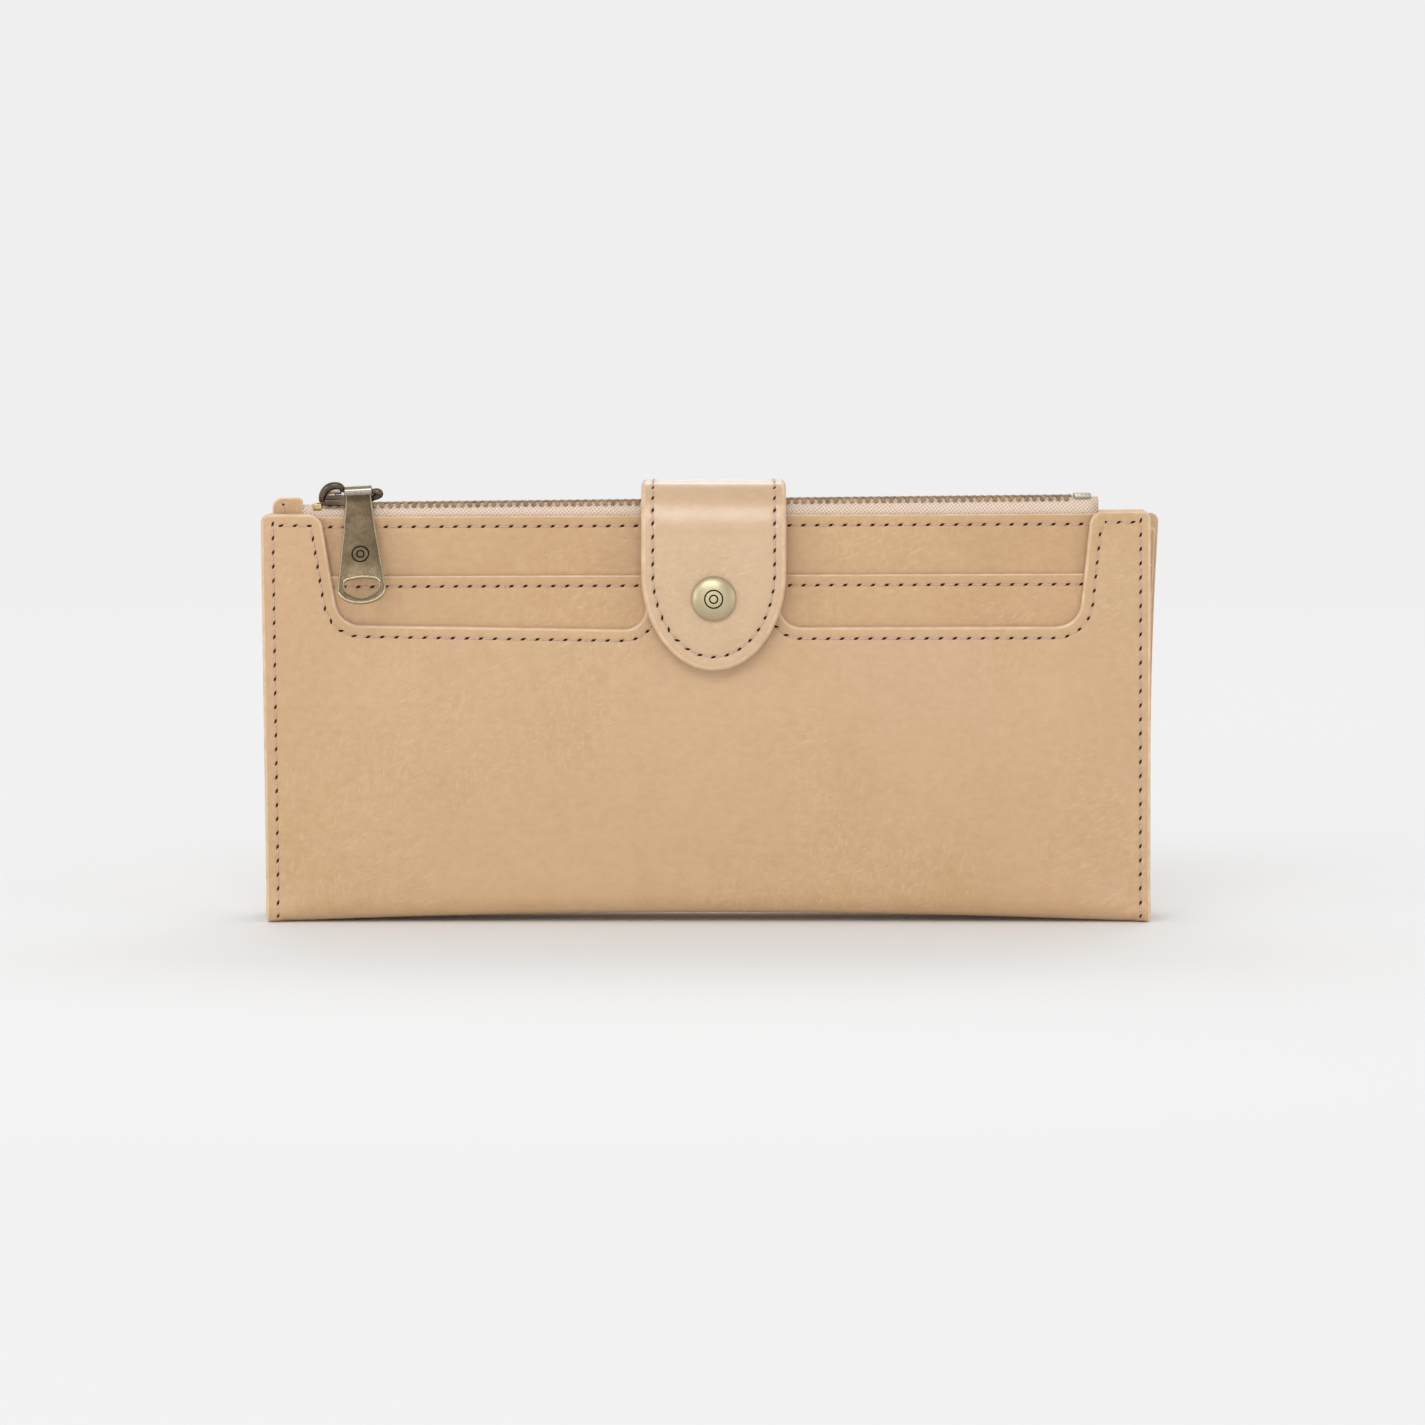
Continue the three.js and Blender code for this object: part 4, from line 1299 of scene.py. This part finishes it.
def pull_hole():
    """The D-shaped opening above the pull's foot."""
    corners = [
        (-3.75, -20.5, 1.0),
        (-3.4, -23.0, 1.8),
        (0, -25.1, 3.4),
        (3.4, -23.0, 1.8),
        (3.75, -20.5, 1.0),
        (0, -19.8, 8.0),
    ]
    return filleted(corners, longest=1.0)


def ring_at(builder, u, radius, sides=28):
    """A ring of points about the bail bar's axis."""
    ring = []
    for side in range(sides):
        angle = 2 * math.pi * side / sides
        ring.append(builder.point(hang(u, radius * math.cos(angle), radius * math.sin(angle))))
    return ring


def pull_barrel():
    """The rolled barrel round the bail's bar."""
    builder = Builder()
    half = BARREL_LENGTH / 2
    profile = [
        (-half, BORE_RADIUS), (-half, BARREL_RADIUS - 0.15), (-half + 0.15, BARREL_RADIUS),
        (half - 0.15, BARREL_RADIUS), (half, BARREL_RADIUS - 0.15), (half, BORE_RADIUS),
    ]
    rings = [ring_at(builder, u, radius) for u, radius in profile]
    for ring, other in zip(rings, rings[1:] + rings[:1]):
        builder.strip(ring, other)
    barrel = builder.make("zip_pull_barrel", [BARREL_BRASS])
    barrel.data.set_sharp_from_angle(angle=math.radians(38))
    finish_piece(barrel, "zip_pull", "brass")


def zip_pull():
    """The pull: a tapering brushed plate with worn bright edges and a D-shaped hole, under its barrel."""
    plate_piece = extruded(
        "zip_pull_plate", pull_loop(), PULL_THICKNESS,
        lambda u, v, w: hang(u, v, PULL_FRONT - w), [BRASS, WORN_BRASS], holes=[pull_hole()])
    bevelled(plate_piece, 0.32, 3, 1)
    finish_piece(plate_piece, "zip_pull", "brass", "zip_pull")
    pull_barrel()

    def on_plate(u, v, w):
        return hang(u, v - RING_DROP, PULL_FRONT + w)

    ring_ornament("zip_pull_ring", on_plate, 1.75, "zip_pull")
    ring_ornament("zip_pull_inner_ring", on_plate, 0.75, "zip_pull")


def ring_ornament(name, place, radius, body):
    """A plain pressed ring: a thin dark torus sunk halfway into the metal."""
    builder = Builder()
    rings = []
    for step in range(40):
        turn = 2 * math.pi * step / 40
        ring = []
        for side in range(8):
            angle = 2 * math.pi * side / 8
            reach = radius + 0.16 * math.cos(angle)
            rise = 0.06 * math.sin(angle)
            ring.append(builder.point(place(reach * math.cos(turn), reach * math.sin(turn), rise)))
        rings.append(ring)
    for ring, other in zip(rings, rings[1:] + rings[:1]):
        builder.strip(ring, other)
    piece = builder.make(name, [PIT_BRASS])
    finish_piece(piece, body, "brass")


def slider():
    """The slider: an upper plate with a flange each side, the stepped nose under the bail, and the bail."""
    low, high = SLIDER_LOW, SLIDER_HIGH
    mid = (low.y + high.y) / 2
    half = (high.y - low.y) / 2
    corners = [
        (low.x - 0.4, mid - half * 0.72, 1.0),
        (low.x + 3.6, mid - half, 2.0),
        (high.x - 1.4, mid - half + 0.35, 1.0),
        (high.x - 1.4, mid + half - 0.35, 1.0),
        (low.x + 3.6, mid + half, 2.0),
        (low.x - 0.4, mid + half * 0.72, 1.0),
    ]
    loop = filleted(corners, longest=1.0)
    top = extruded(
        "slider_plate", loop, 1.0, lambda u, v, w: Vector((u, v, high.z + w - 0.1)), [DARK_BRASS, BRASS])
    top.data.flip_normals()
    bevelled(top, 0.28, 3, 1)
    finish_piece(top, "zip_slider", "brass", "slider_body")
    for side, name in ((-1, "slider_flange_front"), (1, "slider_flange_rear")):
        edge_y = mid + side * (half - 0.3)
        flange_low = Vector((low.x + 0.4, edge_y - 0.3, low.z + 0.7))
        flange_high = Vector((high.x - 1.6, edge_y + 0.3, high.z + 0.1))
        finish_piece(rounded_block(name, flange_low, flange_high, 0.25, DARK_BRASS), "zip_slider", "brass")
    for name, x, width, z, height, reach, material in (
        ("slider_nose", 1.5, 2.5, 0.8, 0.9, 1.9, WORN_BRASS),
        ("slider_cam", 2.3, 3.3, 1.4, 1.5, 1.2, BARREL_BRASS),
        ("slider_lip", 0.7, 1.1, 0.7, 0.7, 2.4, WORN_BRASS),
    ):
        block_low = Vector((low.x + x - width / 2, mid - reach, high.z + z - 0.3))
        block_high = Vector((low.x + x + width / 2, mid + reach, high.z + z - 0.3 + height))
        finish_piece(rounded_block(name, block_low, block_high, 0.3, material), "zip_slider", "brass")
    bail()


def bail():
    """The bail: a thick arch from the nose down into the pull's barrel, a straight bar through the barrel,
    and a rounded end that turns back down to the slider."""
    low, high = SLIDER_LOW, SLIDER_HIGH
    foot = Vector((0, (low.y + high.y) / 2 - 1.5, high.z - 0.2))
    rise = Vector((0, PULL_AXIS.y, PULL_AXIS.z)) - foot
    left, right = PULL_AXIS.x - BARREL_LENGTH / 2, PULL_AXIS.x + BARREL_LENGTH / 2
    path = [  # (x, part of the way up to the bar, radius)
        (low.x - 0.1, -0.05, 0.8), (low.x - 0.1, 0.55, 0.85), (low.x + 0.6, 1.2, 0.85),
        (low.x + 1.9, 1.7, 0.8), (left - 0.9, 1.66, 0.75), (left - 0.45, 1.3, 0.6),
        (left + 0.3, 1.02, 0.5), (PULL_AXIS.x, 1.0, 0.5), (right - 0.5, 1.0, 0.5),
        (right + 0.3, 1.02, 0.62), (right + 1.3, 0.98, 0.85), (right + 1.75, 0.7, 0.8),
        (right + 0.9, 0.42, 0.7), (right - 0.3, 0.22, 0.65), (right - 1.0, -0.1, 0.65),
    ]
    points = [Vector((x, foot.y + rise.y * part, foot.z + rise.z * part)) for x, part, _ in path]
    radii = [Vector((radius, 0, 0)) for _, _, radius in path]
    builder = Builder()
    builder.tube(smoothed(points, 2), [r.x for r in smoothed(radii, 2)], sides=12)
    piece = builder.make("slider_bail_arch", [DARK_BRASS])
    finish_piece(piece, "zip_slider", "brass", "slider_bail")


def smoothed(points, rounds):
    """The path after cutting its corners a few times."""
    for _ in range(rounds):
        cut = [points[0]]
        for here, there in zip(points, points[1:]):
            cut += [here.lerp(there, 0.25), here.lerp(there, 0.75)]
        points = cut + [points[-1]]
    return points


# ---------------------------------------------------------------- strap

BEND_Z = ARCH_LOW.z
BEND_RADIUS = ARCH_HIGH.z - ARCH_LOW.z
STRAP_FRONT = ARCH_LOW.y
STRAP_BACK = ARCH_HIGH.y
SOFT_BEND = 5.6  # the strap starts to lean back this far below its front bend
STRAP_LIFT = 0.5
BEND_STEPS = 16
TIP_DEPTH = 21.0  # how far up the strap its rounded tip begins
TIP_STEPS = 44
LINING_INSET = 0.12


def strap_path():
    """The strap's outer face as dense (y, z) points, from its tip over the top to its sewn root."""
    points = [Vector((STRAP_FRONT, TIP_LOW.z)), Vector((STRAP_FRONT, BEND_Z - SOFT_BEND))]
    for step in range(1, BEND_STEPS + 1):
        angle = math.pi / 2 * step / BEND_STEPS
        points.append(Vector((
            STRAP_FRONT + BEND_RADIUS * (1 - math.cos(angle)),
            BEND_Z - SOFT_BEND + (BEND_RADIUS + SOFT_BEND) * math.sin(angle),
        )))
    for step in range(BEND_STEPS + 1):
        angle = math.pi / 2 * step / BEND_STEPS
        points.append(Vector((
            STRAP_BACK - BEND_RADIUS + BEND_RADIUS * math.sin(angle),
            BEND_Z + BEND_RADIUS * math.cos(angle),
        )))
    points.append(Vector((STRAP_BACK, ROOT_LOW.z)))
    return points


STRAP_PATH = strap_path()
STRAP_RUNS = [0.0]
for here, there in zip(STRAP_PATH, STRAP_PATH[1:]):
    STRAP_RUNS.append(STRAP_RUNS[-1] + (there - here).length)
STRAP_LENGTH = STRAP_RUNS[-1]
STRAP_MIDDLE = (STRAP_RUNS[BEND_STEPS + 1] + STRAP_RUNS[BEND_STEPS + 2]) / 2
ROOT_RUN = BEND_Z - ROOT_LOW.z


def strap_place(x, run, depth):
    """A point of the strap: run is the distance from its tip along its outer face."""
    last = len(STRAP_PATH) - 2
    segment = min(last, max(0, next((i for i, r in enumerate(STRAP_RUNS) if r > run), last + 1) - 1))
    here, there = STRAP_PATH[segment], STRAP_PATH[segment + 1]
    part = (run - STRAP_RUNS[segment]) / (STRAP_RUNS[segment + 1] - STRAP_RUNS[segment])
    inward = path_normal(segment).lerp(path_normal(segment + 1), part)
    spot = here + (there - here) * part + unit(inward) * depth
    return Vector((x, spot.x, spot.y + STRAP_LIFT))


def path_normal(index):
    """The direction into the strap at a point of its path."""
    before = STRAP_PATH[max(0, index - 1)]
    after = STRAP_PATH[min(len(STRAP_PATH) - 1, index + 1)]
    heading = unit(after - before)
    if index in (0, 1):
        heading = Vector((0, 1))
    if index >= len(STRAP_PATH) - 2:
        heading = Vector((0, -1))
    return Vector((heading.y, -heading.x))


def strap_corners(inset=0.0):
    """The strap laid flat: (x, run) corners, with a half-elliptical tip and a squarer root."""
    half = STRAP_HALF - inset
    start = inset * 1.2
    depth = TIP_DEPTH - start
    corners = []
    for step in range(TIP_STEPS + 1):
        angle = math.pi * (1 + step / TIP_STEPS)
        corners.append((STRAP_X + half * math.cos(angle), start + depth * (1 + math.sin(angle))))
    corners.append((STRAP_X + half, STRAP_LENGTH - inset, 3.0))
    corners.append((STRAP_X - half, STRAP_LENGTH - inset, 3.0))
    return corners


def split_at(piece, name, keep_front):
    """Cuts a strap piece at the middle of its top, closes the cut, and keeps one half."""
    mesh = piece.data
    work = bmesh.new()
    work.from_mesh(mesh)
    middle = strap_place(STRAP_X, STRAP_MIDDLE, 0).y * MM
    result = bmesh.ops.bisect_plane(
        work, geom=work.verts[:] + work.edges[:] + work.faces[:], plane_co=(0, middle, 0),
        plane_no=(0, 1, 0), clear_outer=keep_front, clear_inner=not keep_front, dist=1e-7)
    cut = [e for e in result["geom_cut"] if isinstance(e, bmesh.types.BMEdge)]
    filled = bmesh.ops.holes_fill(work, edges=cut, sides=0)
    for face in filled["faces"]:
        face.smooth = False
    for edge in cut:
        if edge.is_valid:
            edge.smooth = False
    copy = bpy.data.meshes.new(name)
    work.to_mesh(copy)
    work.free()
    for material in mesh.materials:
        copy.materials.append(material)
    half = bpy.data.objects.new(name, copy)
    bpy.context.scene.collection.objects.link(half)
    return half


def strap_halves(piece, base_name, slot, front_nodes, rear_nodes):
    """The front half bends at the front of the wallet's top, and the rear half at the back of it."""
    front = split_at(piece, base_name + "_front", True)
    rear = split_at(piece, base_name + "_rear", False)
    bpy.data.objects.remove(piece)
    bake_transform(front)
    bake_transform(rear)
    finish_piece(front, None, slot, *front_nodes)
    finish_piece(rear, None, slot, *rear_nodes)


def strap():
    """The strap: outer leather, lining and thread, each made whole and then cut into its two halves."""
    seam_loop = filleted(strap_corners(STITCH_INSET), longest=0.5)
    left_x = STRAP_X - STRAP_HALF + STITCH_INSET
    right_x = STRAP_X + STRAP_HALF - STITCH_INSET
    root_run = STRAP_LENGTH - STITCH_INSET - 4
    seam = along(stretch(seam_loop, (left_x, root_run), (right_x, root_run)), STRAP_STITCH_PITCH)
    foot = along(stretch(seam_loop, (right_x, root_run), (left_x, root_run)), STRAP_STITCH_PITCH)
    bar_run = STRAP_LENGTH - ROOT_RUN + 4
    box_bar = along([Vector((left_x, bar_run)), Vector((right_x, bar_run))], STRAP_STITCH_PITCH)
    seams = [seam, foot, box_bar]
    snap = (STRAP_X, CAP_Z - STRAP_LIFT - TIP_LOW.z)
    outer = plate(
        "strap_outer", strap_corners(), COVER_THICKNESS + 0.2, strap_place, STRAP_LAYER,
        roll=(0.95, 1.05), seams=seams, holes=[(snap, 1.3)], spacing=1.6)
    thread = stitches("strap_thread", seams, strap_place, THREAD)
    lining_depth = box_mm("strap_tip_lining")[0].y - STRAP_FRONT - LINING_INSET

    def lining_place(x, run, depth):
        return strap_place(x, run, lining_depth + depth)

    inner = plate(
        "strap_inner", strap_corners(LINING_INSET), PANEL_THICKNESS + 0.1, lining_place, STRAP_LAYER,
        roll=(0.2, 0.25), holes=[(snap, 2.1)], spacing=1.6)
    strap_halves(
        outer, "strap_leather", "leather",
        ["strap_tip_leather", "strap_bridge_leather"], ["strap_root_leather"])
    strap_halves(
        inner, "strap_lining", "leather",
        ["strap_tip_lining", "strap_bridge_lining"], ["strap_root_lining"])
    strap_halves(thread, "strap_stitches", "thread", [], [])


# ---------------------------------------------------------------- snap

def turned(name, profile, material, body, slot, node, sides=48):
    """A turned piece about the snap's axis, from (radius, y) points."""
    builder = Builder()
    rings = []
    for radius, y in profile:
        if radius < 1e-6:
            rings.append([builder.point(Vector((STRAP_X, y, CAP_Z)))])
            continue
        ring = []
        for side in range(sides):
            angle = 2 * math.pi * side / sides
            ring.append(builder.point(
                Vector((STRAP_X + radius * math.cos(angle), y, CAP_Z + radius * math.sin(angle)))))
        rings.append(ring)
    for ring, other in zip(rings, rings[1:]):
        if len(ring) == 1:
            for side in range(sides):
                builder.face((ring[0], other[side], other[(side + 1) % sides]))
        elif len(other) == 1:
            for side in range(sides):
                builder.face((ring[(side + 1) % sides], ring[side], other[0]))
        else:
            builder.strip(list(reversed(ring)), list(reversed(other)))
    finish_piece(builder.make(name, [material]), body, slot, node)


def snap_cap():
    """The domed cap with its rolled rim and two plain pressed rings."""
    radius = (CAP_HIGH.x - CAP_LOW.x) / 2
    apex = CAP_LOW.y - 0.55
    rim_y = STRAP_FRONT - 0.02
    shoulder = rim_y - 0.5
    crown = shoulder - apex

    def dome(reach):
        return shoulder - crown * (1 - (reach / radius) ** 2.3) ** 0.62

    reaches = [radius * math.sin(math.pi / 2 * step / 18) for step in range(18)]
    profile = [(reach, dome(reach)) for reach in reaches]
    profile += [(radius, shoulder + 0.02), (radius - 0.02, rim_y - 0.2), (radius - 0.25, rim_y)]
    profile += [(0.95, rim_y), (0.95, STRAP_FRONT + COVER_THICKNESS), (0, STRAP_FRONT + COVER_THICKNESS)]
    turned("snap_cap_dome", profile, CAP_BRASS, "strap_tip", "brass", "snap_cap", sides=64)

    def on_dome(u, v, w):
        return Vector((STRAP_X + u, dome(math.hypot(u, v)) - w, CAP_Z + v))

    ring_ornament("snap_cap_ring", on_dome, 1.9, "strap_tip")
    ring_ornament("snap_cap_inner_ring", on_dome, 0.85, "strap_tip")


def snap_inside():
    """The socket behind the strap and the stud on the front cover."""
    low, high = box_mm("snap_socket")
    turned("snap_socket_ring", [
        (1.9, low.y + 0.05), (2.3, low.y), (3.3, low.y), (3.6, low.y + 0.15), (3.6, high.y - 0.15),
        (3.4, high.y), (2.4, high.y), (1.9, high.y - 0.12), (1.9, low.y + 0.05),
    ], BRASS, "strap_tip", "brass", "snap_socket")
    low, high = box_mm("snap_stud")
    turned("snap_stud_post", [
        (0, low.y), (0.9, low.y + 0.04), (1.35, low.y + 0.22), (1.5, low.y + 0.45), (1.42, low.y + 0.68),
        (1.15, low.y + 0.8), (1.15, FRONT - 0.75), (1.4, FRONT - 0.62), (2.9, FRONT - 0.5),
        (3.2, FRONT - 0.25), (3.1, FRONT - 0.02), (1.0, FRONT - 0.02), (1.0, high.y), (0, high.y),
    ], BRASS, "front_leaf", "brass", "snap_stud")


# ---------------------------------------------------------------- what stays from the CAD

def dress_cad():
    """Gives the procedural brass to the two CAD nodes that are shown as they are."""
    for node in ("snap_stud_back_plate", "slider_lower_plate"):
        mesh = frame["nodes"][node].data
        mesh.materials.clear()
        mesh.materials.append(BRASS)


# ---------------------------------------------------------------- stage, light and camera

CAMERA_DISTANCE = 1.0
CAMERA_ELEVATION = math.radians(5)
AIM = Vector((1.35, FRONT, 45.45)) * MM
VIEW_WIDTH = 0.3046  # what the frame takes in at the front of the wallet
SENSOR = 36


def backdrop():
    """A pale sheet: a floor that curves up into a wall far behind the wallet. Only the paper round the wallet
    takes its light from the lamps. Further off it gives way to dim paper that glows, so that the sheet stays
    even."""
    builder = Builder()
    radius, near, far, wide = 700, -14000, 1800, 9000
    profile = [(near, 0), (far - radius, 0)]
    for step in range(1, 13):
        angle = math.pi / 2 * step / 12
        profile.append((far - radius + radius * math.sin(angle), radius * (1 - math.cos(angle))))
    profile.append((far, 3500))
    left = [builder.point(Vector((-wide, y, z))) for y, z in profile]
    right = [builder.point(Vector((wide, y, z))) for y, z in profile]
    builder.strip(left, right, closed=False)
    material, tree, shader, coordinates = new_material("backdrop_paper")
    reach = tree.nodes.new("ShaderNodeVectorMath")
    reach.operation = "LENGTH"
    tree.links.new(stretched(tree, coordinates, (0.7, 1, 1)), reach.inputs[0])
    away = ramp(tree, reach.outputs["Value"], 0.09, 0.3)
    paper, grey = (0.86, 0.86, 0.86, 1), (0.08, 0.08, 0.08, 1)
    tree.links.new(mixed(tree, away, paper, grey), shader.inputs["Base Color"])
    tree.links.new(mixed(tree, away, (0, 0, 0, 1), (1, 1, 1, 1)), shader.inputs["Emission Color"])
    shader.inputs["Emission Strength"].default_value = 0.8
    fibre = noise_field(tree, coordinates, 900, 2)
    tree.links.new(ramp(tree, fibre, 0, 1, 0.9, 1.0), shader.inputs["Roughness"])
    shader.inputs["Specular IOR Level"].default_value = 0.0
    builder.make("backdrop", [material])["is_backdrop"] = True


def area_light(name, position, target, size, power, size_y=None):
    light = bpy.data.lights.new(name, "AREA")
    light.energy = power
    light.size = size
    if size_y:
        light.shape = "RECTANGLE"
        light.size_y = size_y
    lamp = bpy.data.objects.new(name, light)
    lamp.location = position
    lamp.rotation_euler = (Vector(target) - Vector(position)).to_track_quat("-Z", "Y").to_euler()
    bpy.context.scene.collection.objects.link(lamp)


def lights():
    """A bright surround, a soft box above in front and one behind, a strip each side and a low fill."""
    world = bpy.data.worlds.new("studio")
    world.use_nodes = True
    background = world.node_tree.nodes["Background"]
    background.inputs["Color"].default_value = (1, 1, 1, 1)
    background.inputs["Strength"].default_value = 0.66
    bpy.context.scene.world = world
    target = (0, 0, 0.05)
    area_light("soft_box", (-0.15, -0.92, 0.74), target, 0.8, 3.9, 0.4)
    area_light("top_back", (0.1, 0.75, 0.85), target, 1.0, 2.6, 0.4)
    area_light("left_strip", (-1.1, -0.75, 0.3), target, 0.3, 1.7, 0.6)
    area_light("right_strip", (1.2, -0.7, 0.3), target, 0.3, 1.0, 0.6)
    area_light("low_fill", (0.0, -1.3, 0.12), (0, 0, 0.02), 0.9, 0.95, 0.1)


def camera():
    data = bpy.data.cameras.new("camera")
    data.sensor_width = SENSOR
    data.lens = SENSOR * CAMERA_DISTANCE / VIEW_WIDTH
    seat = bpy.data.objects.new("camera", data)
    offset = Vector((0, -math.cos(CAMERA_ELEVATION), math.sin(CAMERA_ELEVATION))) * CAMERA_DISTANCE
    seat.location = AIM + offset
    seat.rotation_euler = (-offset).to_track_quat("-Z", "Y").to_euler()
    bpy.context.scene.collection.objects.link(seat)
    bpy.context.scene.camera = seat
    bpy.context.scene.view_settings.view_transform = "Standard"


# ---------------------------------------------------------------- assembly

camera()
backdrop()
lights()
front_cover()
back_cover()
card_panels()
inner_layers()
zip_parts()
slider()
zip_pull()
strap()
snap_cap()
snap_inside()
dress_cad()

sizes = {"cad": CAD_BOUNDS, "visual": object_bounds()}
{key: [list(corner) for corner in corners] for key, corners in sizes.items()}
